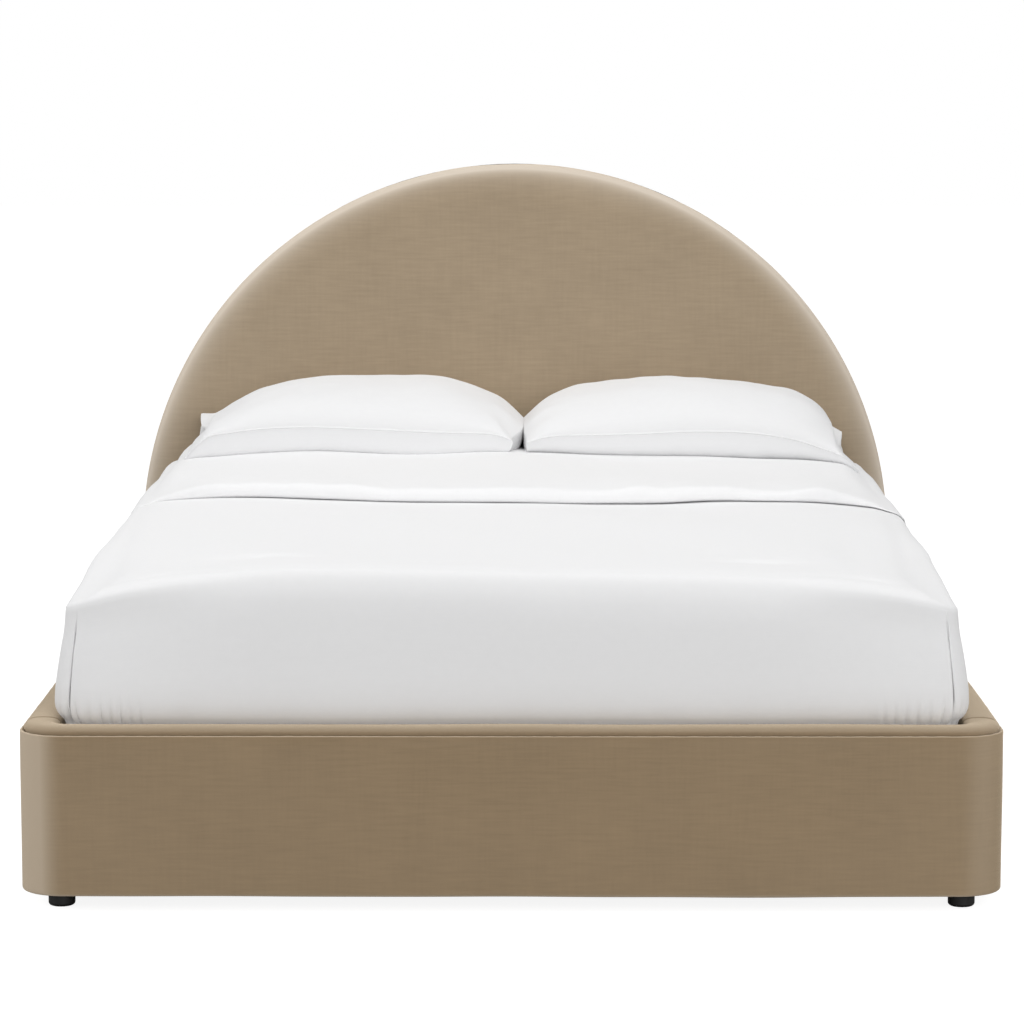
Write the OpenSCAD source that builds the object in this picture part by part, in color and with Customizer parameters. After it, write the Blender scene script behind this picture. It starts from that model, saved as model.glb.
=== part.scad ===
// Upholstered platform bed: half-round padded headboard, low padded box frame with rounded
// foot corners, slats on a centre beam, mattress, duvet and two pillows.
// +Z is up, the foot end lies towards -Y and the headboard towards +Y.
// The origin is on the floor, below the middle of the bed.

/* [Mattress] */
// Width of the mattress
mattress_w = 1524; // [1350:1:1700]
// Length of the mattress
mattress_l = 2032; // [1900:1:2130]
// Thickness of the mattress
mattress_h = 300; // [250:1:340]
// Radius of the mattress's corners seen from above
mattress_corner_r = 60; // [45:1:90]
// Height of the taped edge at the mattress's top and bottom
mattress_tape_h = 14; // [8:1:24]
// How far the mattress's border lies inside its taped edges
mattress_border_in = 4; // [1:0.5:8]
// Thickness of the fitted sheet
sheet_t = 1.2; // [0.8:0.1:2]
// Clear gap between the mattress and the frame, all round
well_gap = 12; // [11:0.5:20]

/* [Rails] */
// Height of the rail's face, from its bottom edge to the seam
rail_face_h = 276; // [240:1:330]
// Height of the padded top above the seam
rail_crown = 8; // [5:0.5:12]
// Thickness of the rail boards
board_t = 25; // [18:1:30]
// Foam on the outside of the boards
face_foam_t = 22; // [16:1:30]
// Foam on the inside of the boards
inner_foam_t = 12; // [8:1:18]
// Foam above the boards, up to the seam
top_foam_t = 12; // [8:1:20]
// Thickness of the velvet with its backing
cover_t = 2.5; // [2:0.1:3]
// Inner radius of the foot corners seen from above
corner_inner_r = 14; // [10:1:30]
// Length of the footboard's returns along the sides, from its outer face
return_l = 115; // [100:1:140]
// Rounding of the rail's edges
edge_r = 5; // [4:0.5:7]
// Depth of the groove along the seam
seam_groove = 1.2; // [0.6:0.1:1.4]

/* [Headboard] */
// Height of the headboard above the floor
headboard_h = 1207; // [1100:1:1300]
// Foam on the headboard's front
headboard_foam_t = 35; // [28:1:50]
// Rounding of the headboard's front rim
headboard_rim_r = 26; // [16:1:30]
// Thickness of the plywood panel
panel_t = 12; // [9:1:18]
// Thickness of the headboard's posts, rails and arch
post_t = 28; // [20:1:40]
// Width of the headboard's posts
post_w = 90; // [80:1:110]
// Width of the laminated arch
arch_w = 45; // [35:1:60]
// Height of the headboard's middle rail
mid_rail_h = 70; // [50:1:90]
// Height of the headboard's bottom rail
bottom_rail_h = 95; // [85:1:110]
// Width of the headboard's centre stud
stud_w = 60; // [45:1:80]
// Thickness of the back cloth
back_cloth_t = 2.5; // [1.5:0.1:3]

/* [Slats and beam] */
// Height of the slats' top above the floor
slat_top_z = 205; // [195:1:215]
// Thickness of a slat
slat_t = 20; // [16:1:24]
// Width of a slat
slat_w = 72; // [55:1:85]
// Clear gap between a slat's end and the rail
slat_end_gap = 3; // [1:0.5:6]
// Width of the slat ledges
ledge_w = 30; // [24:1:40]
// Height of the slat ledges
ledge_h = 40; // [30:1:45]
// Width of the centre beam
beam_w = 60; // [45:1:80]
// Height of the centre beam
beam_h = 70; // [60:1:90]
// Thickness of the steel of the beam's hangers
hanger_t = 3; // [2:0.5:4]
// Depth of the hangers along the beam
hanger_l = 50; // [35:1:60]
// Width of the hangers' back plates
hanger_plate_w = 130; // [110:1:160]
// Width of a centre leg
leg_w = 45; // [35:1:55]
// Distance between the centre legs
leg_pitch = 560; // [480:1:640]
// Height of the glide under a centre leg
glide_h = 6; // [4:0.5:10]
// Diameter of the glide
glide_d = 42; // [30:1:50]
// Width of a slat strap
strap_w = 25; // [15:1:35]
// Thickness of a slat strap
strap_t = 1.4; // [1:0.1:2]
// Distance of the slat straps from the bed's centre line
strap_x = 480; // [350:1:560]

/* [Feet and corner blocks] */
// Height of a foot
foot_h = 28; // [24:1:40]
// Diameter of a foot
foot_d = 46; // [40:1:56]
// Rounding of a foot's bottom edge
foot_edge_r = 6; // [3:0.5:9]
// Distance from the frame's outer faces to the centre of a front foot
foot_inset = 68; // [62:1:78]
// Distance from the headboard to the centre of a back foot
back_foot_inset = 45; // [35:1:60]
// Width of a corner block
block_w = 90; // [80:1:105]
// Length of a front corner block along the side
front_block_l = 165; // [160:1:185]
// Height of the corner blocks
block_h = 117; // [110:1:118]

/* [Fasteners] */
// Shank diameter of the frame bolts and foot studs
bolt_d = 8; // [6:0.5:10]
// Radial clearance round a shank in its hole
hole_gap = 0.2; // [0.1:0.05:0.4]
// Width across a bolt's head
bolt_head_d = 17; // [13:0.5:20]
// Height of a bolt's head
bolt_head_h = 5.5; // [4:0.5:7]
// Diameter of the washer under a bolt's head
washer_d = 24; // [20:0.5:28]
// Thickness of the washer
washer_t = 1.6; // [1:0.1:2.5]
// How far a bolt reaches into the board or post
bolt_grip = 19; // [12:0.5:20]
// Distance of the headboard's bolts from the inner edge of its posts
head_bolt_inset = 16; // [13:0.5:16]
// Height of the lower bolts above the blocks' bottom
bolt_low_z = 60; // [55:1:65]
// Height of the upper bolts above the blocks' bottom
bolt_high_z = 95; // [85:1:102]
// How far a foot stud reaches into the corner block
stud_in_block = 34; // [25:1:40]
// How far a foot stud reaches into the foot
stud_in_foot = 16; // [10:1:18]
// Shank diameter of the frame screws
screw_d = 5; // [4:0.5:6]
// Head diameter of the frame screws
screw_head_d = 10; // [8:0.5:12]
// Height of the screws' heads
screw_head_h = 3; // [2:0.5:4]
// How far a screw reaches into the board or rail behind
screw_grip = 15; // [10:0.5:18]
// Number of screws in each slat ledge
ledge_screw_count = 6; // [4:1:8]

/* [Duvet] */
// Thickness of the duvet over the mattress's edge
duvet_edge_t = 42; // [30:1:55]
// How much higher the duvet is in the middle
duvet_crown = 32; // [20:1:45]
// Thickness that the turned-down band adds on top
band_t = 26; // [18:1:36]
// Thickness that the turned-down band adds at the sides
band_side_t = 2; // [1:0.5:8]
// Distance from the mattress's foot end to the band's edge
band_from_foot = 1055; // [900:1:1200]
// Length over which the band's rounded edge rises
band_edge_l = 34; // [24:1:50]
// How far the duvet bulges out above the rails
duvet_bulge = 12; // [6:1:20]
// How much further the duvet bulges beyond its foot end
duvet_plump = 18; // [4:1:20]
// How far the duvet's middle drops towards the foot end
duvet_foot_drop = 6; // [0:1:15]
// How much further it drops at the foot corners
duvet_corner_drop = 20; // [0:1:30]
// Length over which the duvet drops towards the foot end
duvet_drop_l = 480; // [300:10:700]
// Thickness of the duvet where it is tucked in
tuck_t = 9; // [6:0.5:9.5]
// Depth of the tucked-in hem below the rail's top
tuck_l = 80; // [50:1:95]
// Gap between the duvet's head end and the headboard
duvet_head_gap = 16; // [10:1:30]

/* [Pillows] */
// Width of a filled pillow
pillow_w = 676; // [600:1:690]
// Depth of a pillow from front to back
pillow_d = 452; // [400:1:470]
// Height of a pillow's crown above its seam
pillow_up = 98; // [80:1:120]
// Height of the seam above the duvet
pillow_seam_up = 60; // [42:1:66]
// How much a pillow's edges draw in between its corners
pillow_draw_in = 26; // [10:1:40]
// How far the pillowcase runs on past the filling
case_end_l = 26; // [15:1:45]
// Thickness of the pillowcase with its seam allowance
case_t = 2; // [1.5:0.1:3]
// Half the gap between the pillows
pillow_gap = 8; // [4:1:20]
// Gap between the pillows and the headboard
pillow_back_gap = 8; // [5:1:20]

/* [Seats] */
// Gap between pieces that only rest on each other
seat_gap = 0.4; // [0.3:0.05:0.6]

/* [Hidden] */
$fn = 64;

velvet = "#92826a";
velvet_light = "#a39379";
pine = "#d9b98a";
plywood = "#caa877";
foam = "#efe3b0";
steel = "#8d9094";
plastic = "#2a2624";
cloth_black = "#3a3836";
cotton = "#f4f4f4";
filling = "#e9e9e6";

// Overall sizes
rail_t = 2 * cover_t + face_foam_t + board_t + inner_foam_t;
clear_w = mattress_w + 2 * well_gap;
clear_l = mattress_l + 2 * well_gap;
overall_w = clear_w + 2 * rail_t;
headboard_t = cover_t + headboard_foam_t + panel_t + post_t + back_cloth_t;
overall_l = rail_t + clear_l + headboard_t;

// Places along the bed
foot_y = -overall_l / 2;
foot_inner_y = foot_y + rail_t;
head_front_y = foot_inner_y + clear_l;
head_back_y = overall_l / 2;
return_end_y = foot_y + return_l;
panel_y = head_front_y + cover_t + headboard_foam_t;
post_y = panel_y + panel_t;
cloth_y = post_y + post_t;

// The headboard's outline is a half circle on straight sides
head_r = overall_w / 2;
arch_centre_z = headboard_h - head_r;
post_x = head_r - cover_t - post_w;

// Heights
rail_bottom_z = foot_h;
seam_z = rail_bottom_z + rail_face_h;
rail_top_z = seam_z + rail_crown;
board_bottom_z = rail_bottom_z + cover_t;
board_top_z = seam_z - top_foam_t;
slat_bottom_z = slat_top_z - slat_t;
mattress_top_z = slat_top_z + seat_gap + mattress_h;
sheet_top_z = mattress_top_z + seat_gap + sheet_t;

// Foot corners seen from above
corner_r = corner_inner_r + rail_t;
corner_x = overall_w / 2 - corner_r;
corner_y = foot_y + corner_r;
board_in = cover_t + inner_foam_t;
board_inner_r = corner_inner_r + board_in;
board_x = clear_w / 2 + board_in;
board_y = foot_inner_y - board_in;

// Points of an arc about c, from angle a to angle b, in n steps
function arc(c, r, a, b, n) =
  [for (i = [0:n]) c + r * [cos(a + (b - a) * i / n), sin(a + (b - a) * i / n)]];

// A rail's section: x runs from the inner face (0) to the outer face (rail_t), y is height.
// The padded top is an arc over the chord between the two edge roundings.
seam_half_w = 0.5;
least_r = 1.5;
crown_half = rail_t / 2 - edge_r - seam_half_w;
crown_r = (crown_half * crown_half + rail_crown * rail_crown) / (2 * rail_crown);
crown_centre_z = rail_top_z - crown_r;
crown_start = asin((seam_z - crown_centre_z) / crown_r);
groove_x = rail_t - edge_r + seam_half_w * 0.6;

function rail_outline(inset) =
  let (r = max(edge_r - inset, least_r),
       low = rail_bottom_z + inset + r,
       high = seam_z - inset - r,
       left = inset + r,
       right = rail_t - inset - r,
       groove = inset == 0 ? [[groove_x, seam_z - seam_groove]] : [])
  concat(
    arc([left, low], r, 180, 270, 4),
    arc([right, low], r, 270, 360, 4),
    arc([right, high], r, 0, 80, 4),
    groove,
    arc([rail_t / 2, crown_centre_z], crown_r - inset, crown_start, 180 - crown_start, 14),
    arc([left, high], r, 100, 180, 4)
  );

module board_section() {
  translate([board_in, board_bottom_z])
    square([board_t, board_top_z - board_bottom_z]);
}

module foam_section() {
  difference() {
    intersection() {
      polygon(rail_outline(cover_t));
      translate([0, board_bottom_z]) square([rail_t, rail_top_z]);
    }
    translate([board_in, 0]) square([board_t, board_top_z]);
  }
}

// The part of the section that the face cover takes: below the seam, on the outer half
module face_region() {
  polygon([
    [rail_t / 2, 0], [rail_t + edge_r, 0], [rail_t + edge_r, rail_top_z], [groove_x, rail_top_z],
    [groove_x, seam_z - seam_groove], [rail_t / 2, board_top_z - rail_t / 2 + board_in]
  ]);
}

module cover_section() {
  difference() {
    polygon(rail_outline(0));
    polygon(rail_outline(cover_t));
  }
}

module face_cover_section() {
  intersection() {
    cover_section();
    face_region();
  }
}

module top_cover_section() {
  difference() {
    cover_section();
    face_region();
  }
}

// A section carried along the right side from y0 to y1
module side_run(y0, y1) {
  translate([clear_w / 2, y1, 0])
    rotate([90, 0, 0])
      linear_extrude(y1 - y0) children();
}

module foot_corner_right() {
  translate([corner_x, corner_y, 0])
    rotate([0, 0, 270])
      rotate_extrude(angle = 90)
        translate([corner_inner_r, 0]) children();
}

// A section carried round the footboard: right return, corner, front, corner, left return
module foot_sweep() {
  side_run(corner_y, return_end_y) children();
  foot_corner_right() children();
  translate([corner_x, foot_inner_y, 0])
    rotate([90, 0, -90])
      linear_extrude(2 * corner_x) children();
  mirror([1, 0, 0]) {
    foot_corner_right() children();
    side_run(corner_y, return_end_y) children();
  }
}

module on_left() {
  mirror([1, 0, 0]) children();
}

// Corner blocks. The front one is rounded in plan where it fits the bent board; reach makes
// a block larger towards the boards, and grow makes it larger downwards.
block_inner_x = board_x - block_w;
block_top_z = rail_bottom_z + block_h;
front_block_y1 = board_y + front_block_l;
back_block_y0 = head_front_y - block_w;

module front_block_plan(reach) {
  r = board_inner_r + reach;
  translate([block_inner_x, corner_y - r])
    square([corner_x - block_inner_x, front_block_y1 - corner_y + r]);
  translate([corner_x, corner_y]) {
    square([r, front_block_y1 - corner_y]);
    circle(r);
  }
}

module right_block_solids(grow, reach = 0) {
  translate([0, 0, rail_bottom_z - grow])
    linear_extrude(block_h + grow) front_block_plan(reach);
  translate([block_inner_x, back_block_y0, rail_bottom_z - grow])
    cube([block_w + reach, block_w, block_h + grow]);
}

// Fasteners. Each module draws the right-hand ones; the left ones are mirrored.
bolt_zs = [rail_bottom_z + bolt_low_z, rail_bottom_z + bolt_high_z];
side_bolt_y = (return_end_y + front_block_y1) / 2;
head_bolt_x = post_x + head_bolt_inset;
side_bolt_l = block_w + bolt_grip;
head_bolt_l = post_y + bolt_grip - back_block_y0;
foot_places = [
  [overall_w / 2 - foot_inset, foot_y + foot_inset],
  [overall_w / 2 - foot_inset, head_front_y - back_foot_inset]
];

module side_bolt_places() {
  for (z = bolt_zs)
    translate([block_inner_x, side_bolt_y, z]) rotate([0, 90, 0]) children();
}

module head_bolt_places() {
  for (z = bolt_zs)
    translate([head_bolt_x, back_block_y0, z]) rotate([-90, 0, 0]) children();
}

module bolt(shank_l) {
  cylinder(h = shank_l, d = bolt_d);
  translate([0, 0, -washer_t]) cylinder(h = washer_t, d = washer_d);
  translate([0, 0, -washer_t - bolt_head_h]) cylinder(h = bolt_head_h, d = bolt_head_d, $fn = 6);
}

module bolt_hole(shank_l) {
  cylinder(h = shank_l + hole_gap, d = bolt_d + 2 * hole_gap);
}

module right_bolts() {
  side_bolt_places() bolt(side_bolt_l);
  head_bolt_places() bolt(head_bolt_l);
}

module right_bolt_holes() {
  side_bolt_places() bolt_hole(side_bolt_l);
  head_bolt_places() bolt_hole(head_bolt_l);
}

module foot_stud_shapes(gap) {
  for (p = foot_places)
    translate([p[0], p[1], foot_h - stud_in_foot - gap])
      cylinder(h = stud_in_foot + stud_in_block + 2 * gap, d = bolt_d + 2 * gap);
}

ledge_top_z = slat_bottom_z;
ledge_z = ledge_top_z - ledge_h;
ledge_x = clear_w / 2 - ledge_w;
// The ledge starts where the footboard's rounded inner corner has become straight
ledge_y0 = foot_inner_y + corner_inner_r + seat_gap;
ledge_screw_first_y = front_block_y1 + ledge_w;
ledge_screw_last_y = back_block_y0 - ledge_w;
ledge_screw_l = ledge_w + board_in + screw_grip;
hanger_screw_z = ledge_top_z - beam_h / 2;
hanger_screw_x = (beam_w / 2 + hanger_t + hanger_plate_w / 2) / 2;
foot_screw_l = hanger_t + board_in + screw_grip;
head_screw_l = hanger_t + post_y - head_front_y + screw_grip;

module ledge_screw_places() {
  for (i = [0:ledge_screw_count - 1])
    let (f = i / (ledge_screw_count - 1))
      translate([ledge_x, ledge_screw_first_y * (1 - f) + ledge_screw_last_y * f, ledge_z + ledge_h / 2])
        rotate([0, 90, 0]) children();
}

module foot_hanger_screw_place() {
  translate([hanger_screw_x, foot_inner_y + hanger_t, hanger_screw_z]) rotate([90, 0, 0]) children();
}

module head_hanger_screw_place() {
  translate([hanger_screw_x, head_front_y - hanger_t, hanger_screw_z]) rotate([-90, 0, 0]) children();
}

module screw(shank_l) {
  cylinder(h = shank_l, d = screw_d);
  translate([0, 0, -screw_head_h]) cylinder(h = screw_head_h, d = screw_head_d);
}

module screw_hole(shank_l) {
  cylinder(h = shank_l + hole_gap, d = screw_d + 2 * hole_gap);
}

module right_screws() {
  ledge_screw_places() screw(ledge_screw_l);
  foot_hanger_screw_place() screw(foot_screw_l);
  head_hanger_screw_place() screw(head_screw_l);
}

module foot_screw_holes() {
  foot_hanger_screw_place() screw_hole(foot_screw_l);
  on_left() foot_hanger_screw_place() screw_hole(foot_screw_l);
}

module head_holes() {
  for (side = [0, 1])
    mirror([side, 0, 0]) {
      head_bolt_places() bolt_hole(head_bolt_l);
      head_hanger_screw_place() screw_hole(head_screw_l);
    }
}

// Footboard
module footboard_board() {
  color(pine)
    difference() {
      translate([corner_x, foot_inner_y, 0])
        rotate([90, 0, -90])
          linear_extrude(2 * corner_x) board_section();
      foot_screw_holes();
    }
}

module footboard_corner_right() {
  color(plywood) {
    foot_corner_right() board_section();
    side_run(corner_y, return_end_y) board_section();
  }
}

module footboard_corner_left() {
  on_left() footboard_corner_right();
}

module foot_blocks_cut(reach = 0) {
  right_block_solids(cover_t, reach);
  on_left() right_block_solids(cover_t, reach);
  foot_screw_holes();
}

module footboard_foam() {
  color(foam)
    difference() {
      foot_sweep() foam_section();
      foot_blocks_cut(board_t / 2);
    }
}

module footboard_cover() {
  color(velvet)
    difference() {
      foot_sweep() face_cover_section();
      foot_blocks_cut();
    }
}

module footboard_top_cover() {
  color(velvet_light)
    difference() {
      foot_sweep() top_cover_section();
      foot_blocks_cut();
    }
}

// Side rails
module side_piece(reach = 0) {
  difference() {
    side_run(return_end_y, head_front_y) children();
    right_block_solids(cover_t, reach);
    side_bolt_places() bolt_hole(side_bolt_l);
    ledge_screw_places() screw_hole(ledge_screw_l);
  }
}

module side_board_right() {
  color(pine) side_piece() board_section();
}

module side_foam_right() {
  color(foam) side_piece(board_t / 2) foam_section();
}

module side_cover_right() {
  color(velvet)
    difference() {
      side_run(return_end_y, head_front_y) face_cover_section();
      right_block_solids(cover_t);
    }
}

module side_top_cover_right() {
  color(velvet_light) side_piece() top_cover_section();
}

module side_board_left() {
  on_left() side_board_right();
}

module side_foam_left() {
  on_left() side_foam_right();
}

module side_cover_left() {
  on_left() side_cover_right();
}

module side_top_cover_left() {
  on_left() side_top_cover_right();
}

// Headboard. Plan of its thickness, from the front face back, with rounded front rims
function head_profile(inset) =
  let (r = max(headboard_rim_r - inset, least_r),
       x = head_r - inset,
       y0 = head_front_y + inset)
  concat(
    [[0, cloth_y], [0, y0]],
    arc([x - r, y0 + r], r, 270, 360, 8),
    [[x, cloth_y]]
  );

// The headboard's body up to the back cloth, inset from its outer surface
module head_body(inset) {
  translate([0, 0, rail_bottom_z + inset])
    linear_extrude(arch_centre_z - rail_bottom_z - inset)
      for (side = [0, 1])
        mirror([side, 0]) polygon(head_profile(inset));
  translate([0, 0, arch_centre_z])
    rotate([90, 0, 0])
      mirror([0, 0, 1])
        rotate_extrude(angle = 180) polygon(head_profile(inset));
}

module head_slab(inset, y0, y1) {
  translate([0, y1, 0])
    rotate([90, 0, 0])
      linear_extrude(y1 - y0) {
        translate([inset - head_r, rail_bottom_z + inset])
          square([2 * (head_r - inset), arch_centre_z - rail_bottom_z - inset]);
        intersection() {
          translate([0, arch_centre_z]) circle(head_r - inset, $fn = 180);
          translate([-head_r, arch_centre_z]) square([2 * head_r, head_r]);
        }
      }
}

// A slice of space between two places along the bed
module y_slice(y0, y1) {
  translate([-overall_w, y0, 0]) cube([2 * overall_w, y1 - y0, 2 * headboard_h]);
}

rim_seam_y = head_front_y + headboard_rim_r + edge_r;

module headboard_skin() {
  difference() {
    head_body(0);
    head_body(cover_t);
  }
}

module headboard_cover() {
  color(velvet)
    difference() {
      intersection() {
        headboard_skin();
        y_slice(head_front_y, rim_seam_y);
      }
      head_holes();
    }
}

module headboard_border() {
  color(velvet_light)
    intersection() {
      headboard_skin();
      y_slice(rim_seam_y, cloth_y);
    }
}

module headboard_foam() {
  color(foam)
    difference() {
      intersection() {
        head_body(cover_t);
        y_slice(head_front_y, panel_y);
      }
      head_holes();
    }
}

module headboard_panel() {
  color(plywood)
    difference() {
      head_slab(cover_t, panel_y, post_y);
      head_holes();
    }
}

module headboard_back_cloth() {
  color(cloth_black) head_slab(0, cloth_y, head_back_y);
}

arch_inner_r = head_r - cover_t - arch_w;

module headboard_arch() {
  color(plywood)
    translate([0, post_y, arch_centre_z])
      rotate([90, 0, 0])
        mirror([0, 0, 1])
          rotate_extrude(angle = 180)
            translate([arch_inner_r, 0]) square([arch_w, post_t]);
}

module headboard_post_right() {
  color(pine)
    difference() {
      translate([post_x, post_y, board_bottom_z])
        cube([post_w, post_t, arch_centre_z - board_bottom_z]);
      head_holes();
    }
}

module headboard_post_left() {
  on_left() headboard_post_right();
}

// The space inside the arch, through the posts' thickness, a seat gap clear of it
module arch_space() {
  translate([0, cloth_y, arch_centre_z])
    rotate([90, 0, 0])
      cylinder(h = post_t, r = arch_inner_r - seat_gap, $fn = 180);
}

// The middle rail lies on the posts' tops and fits between the arch's feet
module headboard_middle_rail() {
  color(pine)
    intersection() {
      translate([-head_r, post_y, arch_centre_z])
        cube([2 * head_r, post_t, mid_rail_h]);
      arch_space();
    }
}

bottom_rail_z = hanger_screw_z - bottom_rail_h / 2;

module headboard_bottom_rail() {
  color(pine)
    difference() {
      translate([-post_x, post_y, bottom_rail_z])
        cube([2 * post_x, post_t, bottom_rail_h]);
      head_holes();
    }
}

module headboard_centre_stud() {
  color(pine)
    intersection() {
      translate([-stud_w / 2, post_y, arch_centre_z + mid_rail_h])
        cube([stud_w, post_t, head_r]);
      arch_space();
    }
}

// Slats, ledges, beam and legs
module slat_ledge_right() {
  color(pine)
    difference() {
      translate([ledge_x, ledge_y0, ledge_z])
        cube([ledge_w, head_front_y - seat_gap - ledge_y0, ledge_h]);
      ledge_screw_places() screw_hole(ledge_screw_l);
    }
}

module slat_ledge_left() {
  on_left() slat_ledge_right();
}

slat_count = 13;
slat_pitch = clear_l / slat_count;
slat_l = clear_w - 2 * slat_end_gap;

module slat(number) {
  color(pine)
    translate([-slat_l / 2, foot_inner_y + slat_pitch * (number - 0.5) - slat_w / 2, slat_bottom_z])
      cube([slat_l, slat_w, slat_t]);
}

module slat_straps() {
  color(cloth_black)
    for (x = [-strap_x, strap_x])
      translate([x - strap_w / 2, foot_inner_y + slat_pitch / 2 - slat_w / 2, slat_bottom_z - strap_t])
        cube([strap_w, clear_l - slat_pitch + slat_w, strap_t]);
}

beam_bottom_z = ledge_top_z - beam_h;
beam_end_gap = hanger_t + seat_gap;

module centre_beam() {
  color(pine)
    translate([-beam_w / 2, foot_inner_y + beam_end_gap, beam_bottom_z])
      cube([beam_w, clear_l - 2 * beam_end_gap, beam_h]);
}

// A stirrup that opens towards +Y with its back plate at the origin
module beam_hanger() {
  ear_h = beam_h - ledge_h / 2;
  translate([-hanger_plate_w / 2, 0, beam_bottom_z - hanger_t])
    cube([hanger_plate_w, hanger_t, ear_h + hanger_t]);
  translate([-beam_w / 2 - hanger_t, 0, beam_bottom_z - hanger_t])
    cube([beam_w + 2 * hanger_t, hanger_l, hanger_t]);
  for (side = [0, 1])
    mirror([side, 0, 0])
      translate([beam_w / 2, 0, beam_bottom_z - hanger_t])
        cube([hanger_t, hanger_l, ear_h + hanger_t]);
}

module beam_hangers() {
  color(steel)
    difference() {
      union() {
        translate([0, foot_inner_y, 0]) beam_hanger();
        translate([0, head_front_y, 0]) mirror([0, 1, 0]) beam_hanger();
      }
      foot_screw_holes();
      head_holes();
    }
}

leg_places = [-leg_pitch, 0, leg_pitch];

module centre_legs() {
  color(pine)
    for (y = leg_places)
      translate([-leg_w / 2, y - leg_w / 2, glide_h])
        cube([leg_w, leg_w, beam_bottom_z - glide_h]);
}

module leg_glides() {
  color(plastic)
    for (y = leg_places)
      translate([0, y, 0]) cylinder(h = glide_h, d = glide_d);
}

// Corner blocks and feet
module corner_blocks() {
  color(pine)
    for (side = [0, 1])
      mirror([side, 0, 0])
        difference() {
          right_block_solids(0);
          right_bolt_holes();
          foot_stud_shapes(hole_gap);
        }
}

module feet() {
  foot_r = foot_d / 2;
  color(plastic)
    for (side = [0, 1])
      mirror([side, 0, 0])
        difference() {
          for (p = foot_places)
            translate([p[0], p[1], 0])
              rotate_extrude()
                polygon(concat(
                  [[0, foot_h], [0, 0]],
                  arc([foot_r - foot_edge_r, foot_edge_r], foot_edge_r, 270, 360, 6),
                  [[foot_r, foot_h]]
                ));
          foot_stud_shapes(hole_gap);
        }
}

module foot_studs() {
  color(steel)
    for (side = [0, 1])
      mirror([side, 0, 0]) foot_stud_shapes(0);
}

module frame_bolts() {
  color(steel)
    for (side = [0, 1])
      mirror([side, 0, 0]) right_bolts();
}

module frame_screws() {
  color(steel)
    for (side = [0, 1])
      mirror([side, 0, 0]) right_screws();
}

// Mattress and fitted sheet
mattress_y0 = foot_inner_y + well_gap;
mattress_z = slat_top_z + seat_gap;
// Flat steps round a corner, the same for the mattress and all that lies over it
corner_steps = 4;

module rounded_plan(grow) {
  r = mattress_corner_r + grow;
  x = mattress_w / 2 + grow;
  y0 = mattress_y0 - grow;
  y1 = mattress_y0 + mattress_l + grow;
  polygon(concat(
    arc([r - x, y0 + r], r, 180, 270, corner_steps),
    arc([x - r, y0 + r], r, 270, 360, corner_steps),
    arc([x - r, y1 - r], r, 0, 90, corner_steps),
    arc([r - x, y1 - r], r, 90, 180, corner_steps)
  ));
}

module mattress() {
  color(filling) {
    translate([0, 0, mattress_z])
      linear_extrude(mattress_tape_h) rounded_plan(0);
    translate([0, 0, mattress_z + mattress_tape_h])
      linear_extrude(mattress_h - 2 * mattress_tape_h) rounded_plan(-mattress_border_in);
    translate([0, 0, mattress_top_z - mattress_tape_h])
      linear_extrude(mattress_tape_h) rounded_plan(0);
  }
}

sheet_out = seat_gap / 2 + sheet_t;

module fitted_sheet() {
  color(cotton)
    difference() {
      translate([0, 0, mattress_z])
        linear_extrude(sheet_top_z - mattress_z) rounded_plan(sheet_out);
      translate([0, 0, mattress_z - sheet_t])
        linear_extrude(mattress_h + sheet_t + seat_gap) rounded_plan(seat_gap / 2);
    }
}

// Duvet: a shell over the mattress, closed at the foot and both sides, open at the head.
// Its grid runs round a U (left side, foot, right side) and from the hem up to a spine
// along the middle, then back down the inside.
duvet_in = sheet_out + seat_gap;
duvet_half_w = mattress_w / 2 + duvet_in;
duvet_foot_y = mattress_y0 - duvet_in;
duvet_head_y = head_front_y - duvet_head_gap;
duvet_corner_r = mattress_corner_r + duvet_in;
duvet_inner_z = sheet_top_z + seat_gap;
duvet_edge_z = sheet_top_z + duvet_edge_t;
hem_z = rail_top_z - tuck_l;
band_y = mattress_y0 + band_from_foot;
spine_y0 = duvet_foot_y + duvet_half_w / 2;
// Length over which the head end rolls down
round_l = 60;
// How far inside the duvet's edge its top face begins, and that face's corner radius
top_inset = 78;
top_corner_r = 50;

function smooth(a) = a < 0 ? 0 : a > 1 ? 1 : a * a * (3 - 2 * a);
function band(y) = smooth((y - band_y) / band_edge_l + 0.5);
function duvet_top(x, y) =
  duvet_edge_z + duvet_crown * (1 - pow(abs(x) / duvet_half_w, 2))
  + band_t * band(y)
  - (duvet_foot_drop + duvet_corner_drop * pow(x / duvet_half_w, 2))
    * (1 - smooth((y - duvet_foot_y) / duvet_drop_l));
// The head end rolls down over the last stretch before the headboard
function head_roll(y) = duvet_edge_t * pow(max(0, 1 - (duvet_head_y - y) / round_l), 2);

// Sides from the hem up: [share of the way from the rail's top to the duvet's edge, how far out]
shoulder = [
  [0.06, tuck_t + duvet_bulge * 0.5], [0.16, tuck_t + duvet_bulge * 0.92],
  [0.36, tuck_t + duvet_bulge], [0.60, tuck_t + duvet_bulge * 0.5],
  [0.78, 0], [0.92, -20], [0.985, -46]
];
// Rows of the top face, as shares of the way out from the spine
top_shares = [1, 0.84, 0.6, 0.32, 0];

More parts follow.
